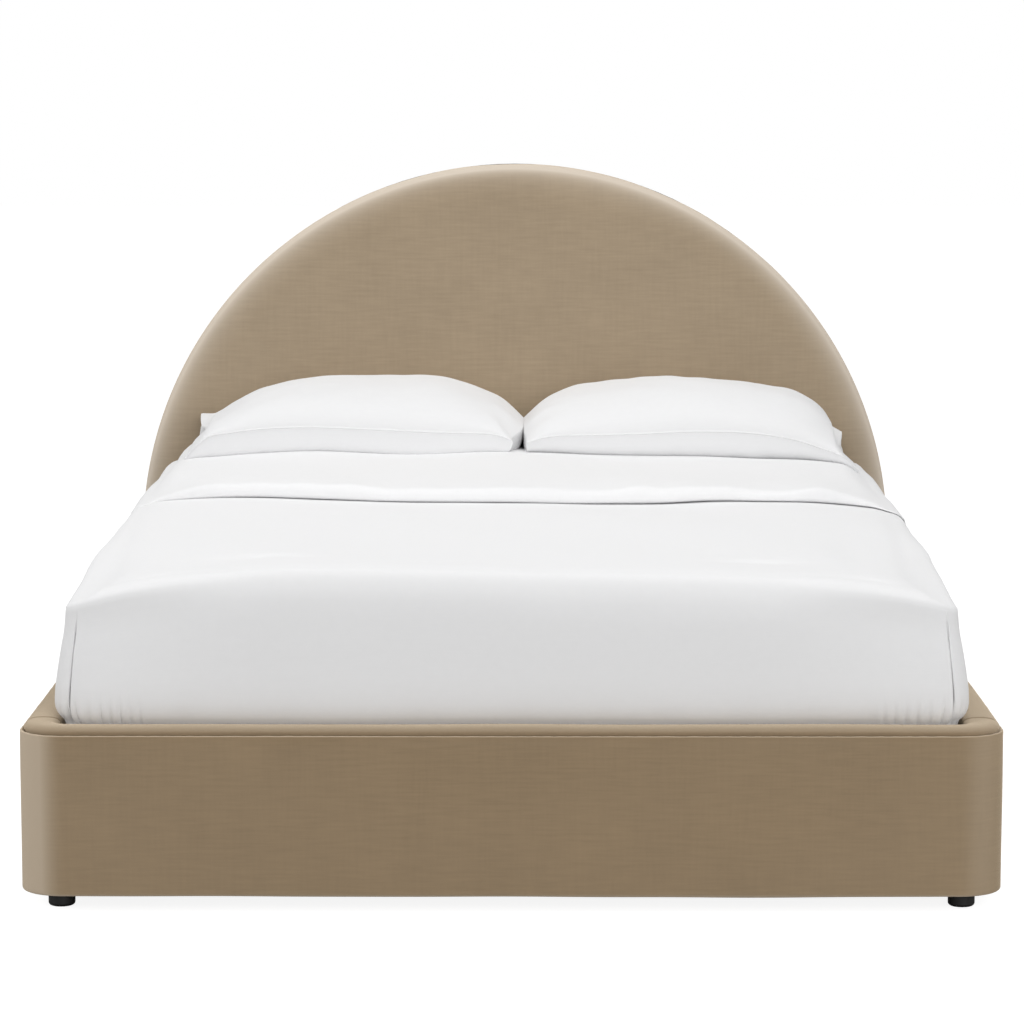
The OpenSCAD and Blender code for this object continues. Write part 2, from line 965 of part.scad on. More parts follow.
// Stations round the U: [centre of the corner circle or straight, direction out, spine point]
side_stations = [
  duvet_head_y, duvet_head_y - round_l * 0.35, duvet_head_y - round_l, band_y + 600, band_y + 250,
  band_y + band_edge_l * 0.5, band_y + band_edge_l * 0.17, band_y - band_edge_l * 0.17,
  band_y - band_edge_l * 0.5, band_y - 220, band_y - 450, band_y - 680, band_y - 870
];
straight_x = duvet_half_w - duvet_corner_r;
corner_yc = duvet_foot_y + duvet_corner_r;
function spine(y) = [0, max(y, spine_y0)];
left_stations = [for (y = side_stations) [[-straight_x, y], [-1, 0], spine(y)]];
corner_left = [for (a = [180:90 / corner_steps:270]) [[-straight_x, corner_yc], [cos(a), sin(a)], [0, spine_y0]]];
foot_stations = [for (k = [-0.72:0.36:0.72]) [[straight_x * k, corner_yc], [0, -1], [0, spine_y0]]];
function flip_x(s) = [[-s[0][0], s[0][1]], [-s[1][0], s[1][1]], s[2]];
function reversed(list) = [for (i = [len(list) - 1:-1:0]) list[i]];
half_u = concat(left_stations, corner_left);
stations = concat(half_u, foot_stations, [for (s = reversed(half_u)) flip_x(s)]);

function plan_point(s, out) = s[0] + s[1] * (duvet_corner_r + out);
top_shift = top_inset + top_corner_r - duvet_corner_r;
function top_edge_point(s) =
  [s[0][0] * (1 - top_shift / straight_x), max(s[0][1], corner_yc + top_shift)]
  + s[1] * top_corner_r;
function with_z(p, z) = [p[0], p[1], z];
function side_out(s, row) =
  row[1] + abs(s[1][0]) * (band_side_t * row[0] * band(s[0][1])
    + duvet_plump * min(1, 1.8 * row[0]) * smooth((s[0][1] - duvet_foot_y) / duvet_drop_l));
function side_row(s, row) =
  let (edge = plan_point(s, 0))
  with_z(plan_point(s, side_out(s, row)),
         rail_top_z + (duvet_top(edge[0], edge[1]) - head_roll(edge[1]) - rail_top_z) * row[0]);
function top_row(s, share) =
  let (p = s[2] + (top_edge_point(s) - s[2]) * share)
  with_z(p, duvet_top(p[0], p[1]) - head_roll(p[1]));
function outer_rows(s) = concat(
  [with_z(plan_point(s, tuck_t * 0.8), hem_z), with_z(plan_point(s, tuck_t), rail_top_z - tuck_l / 8)],
  [for (row = shoulder) side_row(s, row)],
  [for (share = top_shares) top_row(s, share)]
);
inner_top_shares = concat([1], [for (share = top_shares) share * 0.9]);
function inner_rows(s) = concat(
  [for (share = reversed(inner_top_shares))
     with_z(s[2] + (plan_point(s, 0) - s[2]) * share, duvet_inner_z)],
  [for (k = [1:len(shoulder)])
     with_z(plan_point(s, 0), duvet_inner_z + (hem_z - duvet_inner_z) * k / (len(shoulder) + 1))],
  [with_z(plan_point(s, 0), hem_z)]
);

// A grid of columns round the U. The first half of a column is the outer surface and the
// second half the inner one; they join at the hem, and at the head end by caps.
module shell_from(columns) {
  n = len(columns);
  m = len(columns[0]);
  sides = [
    for (i = [0:n - 2], j = [0:m - 1]) if (j != m / 2 - 1)
      let (k = (j + 1) % m, a = i * m + j, b = i * m + k, c = (i + 1) * m + k, d = (i + 1) * m + j)
        each [[a, b, c], [a, c, d]]
  ];
  ends = [
    for (j = [0:m / 2 - 2])
      let (a = j, b = j + 1, c = m - 2 - j, d = m - 1 - j, e = (n - 1) * m)
        each [[a, d, c], [a, c, b], [e + a, e + b, e + c], [e + a, e + c, e + d]]
  ];
  polyhedron(points = [for (column = columns) each column], faces = concat(sides, ends));
}

module duvet() {
  color(cotton)
    shell_from([for (s = stations) concat(outer_rows(s), inner_rows(s))]);
}

// Pillows: rings round the pillow's width axis, from the closed end by the bed's middle
// out to the open end of the pillowcase. Drawn for the right side and mirrored.
pillow_x0 = pillow_gap;
pillow_y = head_front_y - pillow_back_gap - pillow_d / 2;
ring_n = 28;
case_shares = [0, 0.02, 0.07, 0.16, 0.29, 0.44, 0.59, 0.73, 0.85, 0.93, 0.98];

// How full the pillow is at a share of its width: 0 at the ends, 1 in the middle
function fullness(u) = pow(max(0, 1 - pow(abs(2 * u - 1), 2.6)), 0.55);
// The seam runs level and comes down on the duvet towards the open end
function seam_z_at(u, x) =
  duvet_top(x, pillow_y) + pillow_seam_up * (1 - 0.8 * smooth((u - 0.62) / 0.38));
function ring(u, x, layer, least) =
  let (full = max(fullness(u), 0),
       half_d = pillow_d / 2 - pillow_draw_in * full - layer * 3,
       up = max(pillow_up * full - layer, least),
       down = max(pillow_seam_up * full - layer, least))
  [for (i = [0:ring_n - 1])
     let (a = 360 * i / ring_n,
          y = pillow_y + half_d * cos(a),
          draw = pillow_draw_in * 0.7 * pow(sin(a), 2) * pow(abs(2 * u - 1), 5) * sign(0.5 - u),
          px = x + draw,
          rise = (sin(a) > 0 ? up : -down) * pow(abs(sin(a)), 1.2),
          floor_z = duvet_top(px, y) + 2 * seat_gap + layer)
       [px, y, max(seam_z_at(u, px) + rise, floor_z)]];

// A tube of rings with flat ends. Each quad is split along one of its two diagonals.
module ring_solid(rings, other_diagonal = false) {
  n = len(rings);
  sides = [
    for (i = [0:n - 2], j = [0:ring_n - 1])
      let (k = (j + 1) % ring_n, a = i * ring_n + j, b = i * ring_n + k,
           c = (i + 1) * ring_n + k, d = (i + 1) * ring_n + j)
        each other_diagonal ? [[a, d, b], [b, d, c]] : [[a, c, b], [a, d, c]]
  ];
  last = (n - 1) * ring_n;
  ends = [for (j = [1:ring_n - 2]) each [[0, j, j + 1], [last, last + j + 1, last + j]]];
  polyhedron(points = [for (r = rings) each r], faces = concat(sides, ends));
}

function share_x(u) = pillow_x0 + pillow_w * u;
case_out = [for (u = case_shares) ring(u, share_x(u), 0, case_t * 2)];
case_in = [for (u = case_shares) if (u > 0) ring(u, share_x(u), case_t, case_t)];
hem_x = pillow_x0 + pillow_w + case_end_l;
hem_rings = [ring(1, hem_x, 0, case_t * 2), ring(1, hem_x, case_t, case_t)];
// The filling stays two seat gaps inside the case, and further from the case's two ends
filling_end_room = 4;
function insert_x(u) = share_x(u) + filling_end_room * (1 - 2 * u);
insert_rings = [for (u = case_shares) if (u > 0) ring(u, insert_x(u), case_t + 2 * seat_gap, 0.6)];

module pillowcase_right() {
  color(cotton) ring_solid(concat(case_out, hem_rings, reversed(case_in)));
}

module pillowcase_left() {
  on_left() pillowcase_right();
}

module pillow_right() {
  color(filling) ring_solid(insert_rings, other_diagonal = true);
}

module pillow_left() {
  on_left() pillow_right();
}

headboard_panel();
headboard_post_left();
headboard_post_right();
headboard_arch();
headboard_centre_stud();
headboard_middle_rail();
headboard_bottom_rail();
headboard_foam();
headboard_cover();
headboard_border();
headboard_back_cloth();
footboard_board();
footboard_corner_left();
footboard_corner_right();
footboard_foam();
footboard_cover();
footboard_top_cover();
side_board_left();
side_board_right();
side_foam_left();
side_foam_right();
side_cover_left();
side_cover_right();
side_top_cover_left();
side_top_cover_right();
slat_ledge_left();
slat_ledge_right();
centre_beam();
beam_hangers();
centre_legs();
leg_glides();
corner_blocks();
feet();
foot_studs();
frame_bolts();
frame_screws();
slat_straps();
slat(1);  // slat_01
slat(2);  // slat_02
slat(3);  // slat_03
slat(4);  // slat_04
slat(5);  // slat_05
slat(6);  // slat_06
slat(7);  // slat_07
slat(8);  // slat_08
slat(9);  // slat_09
slat(10);  // slat_10
slat(11);  // slat_11
slat(12);  // slat_12
slat(13);  // slat_13
mattress();
fitted_sheet();
duvet();
pillow_left();
pillow_right();
pillowcase_left();
pillowcase_right();
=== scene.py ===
# %% [markdown]
# An upholstered platform bed, finished in Blender.
#
# The construction model of the bed (boards, slats, foam, bolts and plain solids for the cloth)
# is packed already and is loaded here as a fixed frame. This lesson puts the finishes on it:
# velvet covers with their seams, a duvet with a turned-down band, pillows in pillowcases, a
# mattress under a fitted sheet, and plain timber and steel inside. Every soft surface is a
# function of two parameters that numpy works out as one array.

import math

import bmesh
import bpy
import numpy as np
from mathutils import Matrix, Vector


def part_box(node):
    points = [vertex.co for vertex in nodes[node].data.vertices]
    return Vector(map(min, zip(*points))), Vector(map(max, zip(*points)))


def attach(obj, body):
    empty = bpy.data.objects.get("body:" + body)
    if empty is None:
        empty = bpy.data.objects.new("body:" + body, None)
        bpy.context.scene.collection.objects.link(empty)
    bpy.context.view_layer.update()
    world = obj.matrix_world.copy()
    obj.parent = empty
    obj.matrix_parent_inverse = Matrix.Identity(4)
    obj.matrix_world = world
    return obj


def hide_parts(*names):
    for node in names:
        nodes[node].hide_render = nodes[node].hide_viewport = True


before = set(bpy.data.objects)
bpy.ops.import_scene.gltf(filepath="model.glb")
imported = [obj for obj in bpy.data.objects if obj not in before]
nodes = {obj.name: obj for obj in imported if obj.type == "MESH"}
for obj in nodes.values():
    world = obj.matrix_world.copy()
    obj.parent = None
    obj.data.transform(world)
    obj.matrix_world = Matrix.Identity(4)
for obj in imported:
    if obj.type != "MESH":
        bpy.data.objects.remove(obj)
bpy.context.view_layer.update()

# %% [markdown]
# The camera comes first, because every later choice is judged through it. A long lens far from
# the foot end gives the quiet perspective of a catalogue picture. It looks slightly down, and
# needs no lens shift.

# %% Camera
lens_mm = 131.2
sensor_mm = 36.0
camera_place = (0.0234, -7.2986, 1.4332)
camera_pitch = math.radians(6.876)
camera_yaw = math.radians(0.205)


def add_object(name, data):
    """Puts a mesh, lamp or camera into the scene as an object."""
    made = bpy.data.objects.new(name, data)
    bpy.context.scene.collection.objects.link(made)
    return made


camera_data = bpy.data.cameras.new("camera")
camera_data.lens = lens_mm
camera_data.sensor_width = sensor_mm
camera = add_object("camera", camera_data)
camera.location = camera_place
camera.rotation_euler = (math.radians(90) - camera_pitch, 0, camera_yaw)
bpy.context.scene.camera = camera
print("camera at", camera_place, "with a lens of", lens_mm, "mm")

# %% [markdown]
# Every new piece starts from the places of the construction nodes, so nothing has to be fitted
# afterwards. The names say what each measure is on the bed; all lengths are metres.

# %% Measures of the bed
face_low, face_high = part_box("side_cover_right")
top_low, top_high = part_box("side_top_cover_right")
well_half = top_low.x
outer_half = face_high.x
rail_thick = outer_half - well_half
rail_low_z = face_low.z
seam_z = face_high.z
rail_top_z = top_high.z
foot_low, foot_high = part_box("footboard_cover")
foot_face_y = foot_low.y
return_end_y = foot_high.y
well_foot_y = foot_face_y + rail_thick
head_front_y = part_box("headboard_cover")[0].y
cloth_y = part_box("headboard_back_cloth")[0].y
panel_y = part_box("headboard_panel")[0].y
head_top_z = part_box("headboard_border")[1].z
arch_centre_z = head_top_z - outer_half
mattress_low, mattress_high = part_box("mattress")
sheet_low, sheet_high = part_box("fitted_sheet")
duvet_low, duvet_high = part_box("duvet")
case_low, case_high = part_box("pillowcase_right")

# Thickness of the velvet with its backing, the rails' rounded edges and plan corners, and the
# depth of the headboard's rim
cover_thick = 0.0025
edge_r = 0.005
corner_inner_r = 0.014
rim_r = 0.026
board_low, board_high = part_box("side_board_right")
board_low_z = board_low.z
print("rail", round(rail_thick, 4), "seam height", round(seam_z, 4))
print("headboard front", round(head_front_y, 4))

# %% [markdown]
# Small tools for surfaces. A surface here is an array of shape (rows, columns, 3), so one line of
# arithmetic moves all its points together. Modifiers and sculpting could shape cloth as well,
# but a formula can be read, checked and changed by one number.

# %% Tools for surfaces


def ease(t):
    """A smooth step from 0 to 1: three t squared less two t cubed, with t held within 0 and 1."""
    t = np.clip(t, 0.0, 1.0)
    return t * t * (3 - 2 * t)


def bell(t):
    """A bump of height 1 around 0: e to the power of minus t squared."""
    return np.exp(-t * t)


def unevenness(u, v, size, seed, count=14):
    """Soft waves of about -1 to 1: a sum of sines in seeded directions, each with a wavelength
    of one to three sizes."""
    chance = np.random.default_rng(seed)
    total = np.zeros(np.broadcast(u, v).shape)
    for _ in range(count):
        angle, phase = chance.uniform(0, 2 * math.pi, 2)
        pace = 2 * math.pi / (size * chance.uniform(1, 3))
        total += np.sin(pace * (u * math.cos(angle) + v * math.sin(angle)) + phase)
    return total * 1.2 / math.sqrt(count)


def smooth_through(rows, count):
    """A curve through rows of points. Between two rows it is a Hermite cubic whose end slopes
    come from the rows on either side; the pace is the mean distance between rows."""
    rows = np.asarray(rows, float)
    gaps = np.linalg.norm(np.diff(rows, axis=0), axis=-1).reshape(len(rows) - 1, -1).mean(1)
    at = np.concatenate([[0], np.cumsum(gaps)])
    slope = np.gradient(rows, at, axis=0)
    t = np.linspace(0, at[-1], count)
    i = np.clip(np.searchsorted(at, t, side="right") - 1, 0, len(at) - 2)
    shape = (-1,) + (1,) * (rows.ndim - 1)
    h = (at[i + 1] - at[i]).reshape(shape)
    u = ((t - at[i]) / (at[i + 1] - at[i])).reshape(shape)
    start = (2 * u**3 - 3 * u**2 + 1) * rows[i] + (u**3 - 2 * u**2 + u) * h * slope[i]
    end = (3 * u**2 - 2 * u**3) * rows[i + 1] + (u**3 - u**2) * h * slope[i + 1]
    return start + end


def normals_of(grid):
    """Unit normals of a surface: the cross product of its steps along rows and columns."""
    n = np.cross(np.gradient(grid, axis=0), np.gradient(grid, axis=1))
    return n / np.maximum(np.linalg.norm(n, axis=-1, keepdims=True), 1e-12)


def looking_up(grid, column):
    """Unit normals of a surface, each row turned so that its normal at one column looks up."""
    n = normals_of(grid)
    return np.where(n[:, column : column + 1, 2:3] < 0, -n, n)


def raised(flat, z):
    """Plan points with their heights as a third number."""
    return np.concatenate([flat, np.broadcast_to(z, flat.shape[:-1])[..., None]], -1)


# %% [markdown]
# A grid becomes a mesh when its neighbouring points are joined in fours. Two grids make a shell:
# an outer skin, an inner skin and the strips that join their free edges. Real cloth and foam
# have a thickness, and a closed shell gives every piece an inside and an outside.

# %% Tools for meshes
merge_within, no_area_under = 2e-5, 1e-6
crisp_from = math.radians(50)


def quads(index):
    """The quads between the neighbouring rows and columns of a grid of vertex numbers."""
    return np.stack([index[:-1, :-1], index[1:, :-1], index[1:, 1:], index[:-1, 1:]], -1).reshape(-1, 4)


def tube(grid):
    """Points and faces of a grid whose last row joins the first."""
    index = np.arange(grid[..., 0].size).reshape(grid.shape[:2])
    return grid.reshape(-1, 3), quads(np.vstack([index, index[:1]]))


def shell(outer, inner, ring=False, meets=False):
    """Points and faces of a wall between two grids. With ring, the last row joins the first.
    With meets, the last column lies on the bed's middle line, where the two halves meet."""
    rows, columns = outer.shape[:2]
    out = np.arange(rows * columns).reshape(rows, columns)
    if ring:
        out = np.vstack([out, out[:1]])
    inn = out + rows * columns
    strips = [(out[:, 0], inn[:, 0])]
    if not meets:
        strips.append((inn[:, -1], out[:, -1]))
    if not ring:
        strips += [(inn[0], out[0]), (out[-1], inn[-1])]
    faces = [quads(out), quads(inn)[:, ::-1]] + [quads(np.stack(pair)) for pair in strips]
    return np.concatenate([outer.reshape(-1, 3), inner.reshape(-1, 3)]), np.concatenate(faces)


def make_piece(name, points, faces, finish, uv=None):
    """Puts a surface into a mesh: doubles are merged, faces turned outwards if the signed
    volume (a sixth of the sum of a . b x c over the triangles) is negative, and edges sharper
    than 50 degrees kept crisp. uv gives one skin's texture coordinates; a second skin repeats
    them."""
    a, b, c, d = (points[faces[:, k]] for k in range(4))
    volume = (a * np.cross(b, c)).sum() + (a * np.cross(c, d)).sum()
    if volume < 0:
        faces = faces[:, ::-1]
    mesh = bpy.data.meshes.new(name)
    mesh.from_pydata(points.tolist(), [], faces.tolist())
    if uv is not None:
        corners = np.empty(len(mesh.loops), np.int32)
        mesh.loops.foreach_get("vertex_index", corners)
        layer = mesh.uv_layers.new(name="cloth")
        uv = np.resize(uv, (len(points), 2))
        layer.data.foreach_set("uv", uv[corners].astype(np.float32).ravel())
    work = bmesh.new()
    work.from_mesh(mesh)
    bmesh.ops.remove_doubles(work, verts=work.verts, dist=merge_within)
    bmesh.ops.dissolve_degenerate(work, edges=work.edges, dist=no_area_under)
    work.to_mesh(mesh)
    work.free()
    mesh.shade_smooth()
    mesh.set_sharp_from_angle(angle=crisp_from)
    mesh.materials.append(finish)
    return add_object(name, mesh)


def place(piece, body, slot, *replaced):
    """The piece moves with a body and stands for construction nodes, which are hidden. slot is not used.
    """
    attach(piece, body)
    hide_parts(*replaced)
    print(piece.name, len(piece.data.polygons), "faces")


# %% [markdown]
# Rails, duvet, sheet and mattress all follow a path round the bed seen from above: straights
# joined by quarter circles. A waypoint is a corner's centre and the direction that the surface
# faces there. Between waypoints all three run evenly, so one interpolation gives any path.

# %% Tools for paths


class PlanPath:
    """A path round the bed in plan. Place and facing angle change evenly between waypoints, and
    a stretch is as long as its straight plus its turn (radius times angle)."""

    def __init__(self, waypoints, radius):
        self.x, self.y, degrees = np.array(waypoints, float).T
        self.angle = np.radians(degrees)
        self.radius = radius
        straight = np.hypot(np.diff(self.x), np.diff(self.y))
        turn = radius * np.abs(np.diff(self.angle))
        self.at = np.concatenate([[0], np.cumsum(straight + turn)])
        self.length = self.at[-1]

    def __call__(self, s):
        """Base points and facing directions at the distances s along the path."""
        angle = np.interp(s, self.at, self.angle)
        base = np.stack([np.interp(s, self.at, self.x), np.interp(s, self.at, self.y)], -1)
        return base, np.stack([np.cos(angle), np.sin(angle)], -1)


def u_waypoints(cx, cy, back_y):
    """Down the left side, round the foot end and up the right side."""
    left = [(-cx, back_y, 180), (-cx, cy, 180), (-cx, cy, 270)]
    return left + [(cx, cy, 270), (cx, cy, 360), (cx, back_y, 360)]


def loop_waypoints(cx, cy, back_cy):
    """All the way round, from the middle of the foot end and back to it."""
    right = [(0, cy, 270), (cx, cy, 270), (cx, cy, 360), (cx, back_cy, 360), (cx, back_cy, 450)]
    left = [(-cx, back_cy, 450), (-cx, back_cy, 540), (-cx, cy, 540), (-cx, cy, 630), (0, cy, 630)]
    return right + left


def spaced(length, step, fine=()):
    """Distances along a path, evenly spaced, with closer ones in the stretches of fine, each a
    (middle, half length, step). The second half mirrors the first, so that the bed's two sides
    share their rows."""
    half = length / 2
    parts = [np.linspace(0, half, max(2, round(half / step) + 1))]
    parts += [np.arange(at - span, at + span + 1e-9, close) for at, span, close in fine]
    least = 0.4 * min([step] + [close for _, _, close in fine])
    near = np.concatenate(parts)
    near = np.unique(np.round(near[(near >= 0) & (near < half - least)], 6))
    near = near[np.concatenate([[True], np.diff(near) > least])]
    return np.concatenate([near, [half], length - near[::-1]])


# %% [markdown]
# A profile is the section of a cover, as points of distance out and height. Carried along a path
# it becomes a surface, the way a moulding is run round a room. Profiles are built from lines and
# arcs, because that is how upholstery is cut and padded.

# %% Tools for profiles


def line(a, b, count):
    """Evenly spaced points from a to b."""
    return np.linspace(a, b, count)


def bend(centre, radius, start, end, count):
    """Points of an arc, with its angles in degrees."""
    angle = np.radians(np.linspace(start, end, count))
    return np.array(centre) + radius * np.stack([np.cos(angle), np.sin(angle)], -1)


def joined(*parts):
    """Stretches of a profile one after the other, without repeated points."""
    points = np.concatenate(parts)
    keep = np.concatenate([[True], np.linalg.norm(np.diff(points, axis=0), axis=1) > 1e-6])
    return points[keep]


def offset_left(profile, distance):
    """A profile moved to its left by a distance, along its normals."""
    step = np.gradient(profile, axis=0)
    step /= np.linalg.norm(step, axis=1, keepdims=True)
    return profile + distance * np.stack([-step[:, 1], step[:, 0]], -1)


def carried(path, s, profile, inner_radius):
    """A profile (distance out from the inner face, height) carried along a plan path."""
    base, facing = path(s)
    out = base[:, None, :] + facing[:, None, :] * (inner_radius + profile[None, :, :1])
    return raised(out, profile[:, 1])


def lengths(points):
    """The distance along a row of points, from its start."""
    return np.concatenate([[0], np.cumsum(np.linalg.norm(np.diff(points, axis=0), axis=1))])


def cloth_map(along, across):
    """Texture coordinates in metres for every row and column of a surface."""
    return np.stack(np.meshgrid(along, across, indexing="ij"), -1)


# %% [markdown]
# Materials come next. Effects that several finishes share are node groups with named sockets:
# the nap of velvet, a woven thread pattern and wood grain. A group puts out values only; each
# material keeps its own shader, so that its plain numbers sit on the shader.

# %% Tools for materials


def add_node(tree, kind, inputs=None, **settings):
    """Adds a node, sets its properties, and links or sets its inputs."""
    made = tree.nodes.new("ShaderNode" + kind)
    for name, value in settings.items():
        setattr(made, name, value)
    for key, value in (inputs or {}).items():
        if isinstance(value, bpy.types.NodeSocket):
            tree.links.new(value, made.inputs[key])
        else:
            made.inputs[key].default_value = value
    return made


def new_group(name, inputs, outputs):
    """An empty node group with its sockets. inputs maps a name to (socket kind, value)."""
    group = bpy.data.node_groups.new(name, "ShaderNodeTree")
    for key, (kind, value) in inputs.items():
        socket = group.interface.new_socket(key, in_out="INPUT", socket_type="NodeSocket" + kind)
        if value is not None:
            socket.default_value = value
    for key, kind in outputs.items():
        group.interface.new_socket(key, in_out="OUTPUT", socket_type="NodeSocket" + kind)
    return group, group.nodes.new("NodeGroupInput").outputs, group.nodes.new("NodeGroupOutput").inputs


def math_node(tree, operation, a, b=0.0):
    """The result of one arithmetic step."""
    return add_node(tree, "Math", {0: a, 1: b}, operation=operation).outputs[0]


def times(tree, a, b):
    """The product of two values."""
    return math_node(tree, "MULTIPLY", a, b)


def plus(tree, a, b):
    """The sum of two values."""
    return math_node(tree, "ADD", a, b)


def noise(tree, vector, scale, detail=2.0, roughness=0.5):
    """A noise value from 0 to 1 at a scale per metre."""
    inputs = {"Vector": vector, "Scale": scale, "Detail": detail, "Roughness": roughness}
    return add_node(tree, "TexNoise", inputs).outputs["Fac"]


def stretched(tree, vector, scale):
    """A vector multiplied by its own factor along each axis."""
    return add_node(tree, "Mapping", {"Vector": vector, "Scale": scale}).outputs["Vector"]


# %% Node group: velvet nap


def build_nap():
    """Cloudy patches where the pile leans differently, with fine rows of the ground weave
    running across. Shade is about 0.5 on average and Height carries the pile's fine grain."""
    group, given, out = new_group(
        "velvet_nap",
        {"Vector": ("Vector", None), "Cloud": ("Float", 5.0), "Rows": ("Float", 0.85)},
        {"Shade": "Float", "Height": "Float"},
    )
    cloud = noise(group, given["Vector"], given["Cloud"], 3.0, 0.55)
    rows = noise(group, stretched(group, given["Vector"], (14.0, 170.0, 14.0)), 1.0, 3.0, 0.6)
    crossing = noise(group, stretched(group, given["Vector"], (130.0, 10.0, 10.0)), 1.0, 2.0, 0.6)
    streaks = plus(group, times(group, rows, 0.7), times(group, crossing, 0.3))
    from_rows = times(group, plus(group, streaks, -0.5), given["Rows"])
    from_cloud = times(group, plus(group, cloud, -0.5), 0.4)
    group.links.new(plus(group, plus(group, from_cloud, from_rows), 0.5), out["Shade"])
    pile = noise(group, given["Vector"], 1800.0, 2.0, 0.7)
    group.links.new(plus(group, pile, times(group, streaks, 0.6)), out["Height"])
    return group


nap_group = build_nap()

# %% Node group: plain weave


def build_weave():
    """Warp and weft as two crossed sine waves, thinned and thickened by noise, with a few
    slubs. Threads is the count per metre."""
    group, given, out = new_group(
        "plain_weave",
        {"Vector": ("Vector", None), "Threads": ("Float", 900.0)},
        {"Height": "Float", "Shade": "Float"},
    )
    apart = add_node(group, "SeparateXYZ", {0: given["Vector"]}).outputs
    turn = times(group, given["Threads"], 2 * math.pi)
    warp, weft = (math_node(group, "SINE", times(group, apart[axis], turn)) for axis in ("X", "Y"))
    threads = times(group, warp, weft)
    slub = noise(group, stretched(group, given["Vector"], (12.0, 420.0, 12.0)), 1.0, 2.0, 0.6)
    uneven = noise(group, given["Vector"], 60.0, 3.0, 0.6)
    group.links.new(plus(group, times(group, threads, 0.35), slub), out["Height"])
    group.links.new(plus(group, times(group, slub, 0.4), times(group, uneven, 0.6)), out["Shade"])
    return group


weave_group = build_weave()

# %% Node group: wood grain


def build_grain():
    """Growth rings cut lengthwise: distance from a wandering core, turned into bands, with
    fine pores drawn out along the board. The board runs along the vector's X axis."""
    group, given, out = new_group(
        "wood_grain",
        {"Vector": ("Vector", None), "Rings": ("Float", 26.0)},
        {"Shade": "Float", "Height": "Float"},
    )
    wander = noise(group, stretched(group, given["Vector"], (1.1, 5.0, 5.0)), 1.0, 2.0, 0.5)
    across = stretched(group, given["Vector"], (0.25, 5.0, 5.0))
    wave = {"Vector": across, "Scale": given["Rings"], "Distortion": 4.0, "Detail": 2.0}
    wave["Detail Scale"] = 1.0
    rings = add_node(group, "TexWave", wave, bands_direction="DIAGONAL").outputs["Fac"]
    pores = noise(group, stretched(group, given["Vector"], (14.0, 700.0, 700.0)), 1.0, 2.0, 0.6)
    bands = times(group, rings, wander)
    group.links.new(plus(group, times(group, bands, 0.75), times(group, pores, 0.45)), out["Shade"])
    group.links.new(plus(group, pores, times(group, rings, 0.3)), out["Height"])
    return group


grain_group = build_grain()

# %% [markdown]
# A finish is a Principled shader whose colour runs between two tones by a group's Shade, with a
# Bump from the group's Height. One helper wires that, and each material gives its own values.

# %% Tool: a two-tone finish


def two_tone(name, group, tones, values, bump, vector="Object", mapping=None, group_inputs=None):
    """A material whose colour lies between two tones by Shade, with a bump of the given
    (strength, distance) from Height. values go on the shader's own sockets; mapping may turn or
    scale the pattern, and group_inputs set the group's own numbers."""
    made = bpy.data.materials.new(name)
    made.use_nodes = True
    tree = made.node_tree
    shader = tree.nodes["Principled BSDF"]
    for key, value in values.items():
        shader.inputs[key].default_value = value
    source = add_node(tree, "TexCoord").outputs[vector]
    mapped = add_node(tree, "Mapping", {"Vector": source, **(mapping or {})}).outputs["Vector"]
    effect = add_node(tree, "Group", {"Vector": mapped, **(group_inputs or {})}, node_tree=group)
    ramp = add_node(tree, "ValToRGB", {"Fac": effect.outputs["Shade"]})
    ramp.color_ramp.elements[0].position, ramp.color_ramp.elements[1].position = 0.25, 0.75
    for element, tone in zip(ramp.color_ramp.elements, tones):
        element.color = (*tone, 1)
    tree.links.new(ramp.outputs["Color"], shader.inputs["Base Color"])
    relief = add_node(
        tree, "Bump", {"Height": effect.outputs["Height"], "Strength": bump[0], "Distance": bump[1]},
    )
    tree.links.new(relief.outputs["Normal"], shader.inputs["Normal"])
    return made


def linear(red, green, blue):
    """A colour given as 0 to 255 on screen, as the light values that Blender works with."""
    shown = np.array([red, green, blue]) / 255
    return tuple(np.where(shown <= 0.04045, shown / 12.92, ((shown + 0.055) / 1.055) ** 2.4))


def around(tone, spread):
    """Two tones, darker and lighter than the given one by a share."""
    return [tuple(np.array(tone) * (1 - spread)), tuple(np.array(tone) * (1 + spread))]


def shine(roughness, specular, **more):
    """Shader values: roughness, how strongly it mirrors, and more by name."""
    named = {key.replace("_", " "): value for key, value in more.items()}
    return {"Roughness": roughness, "Specular IOR Level": specular, **named}


# %% [markdown]
# Velvet is a short, dense pile: seen square on it is dark, and seen along the surface the sides of
# the hairs catch the light. Sheen gives a part of that. The rest is a painted sheen: a lighter
# colour mixed in by Layer Weight, and painted stronger on the sides that face the lamps.
# Each panel has a tone of its own.

# %% Materials: velvet
velvet_values = shine(
    0.85, 0.15, Sheen_Weight=0.9, Sheen_Roughness=0.45, Sheen_Tint=(*linear(226, 210, 186), 1),
)


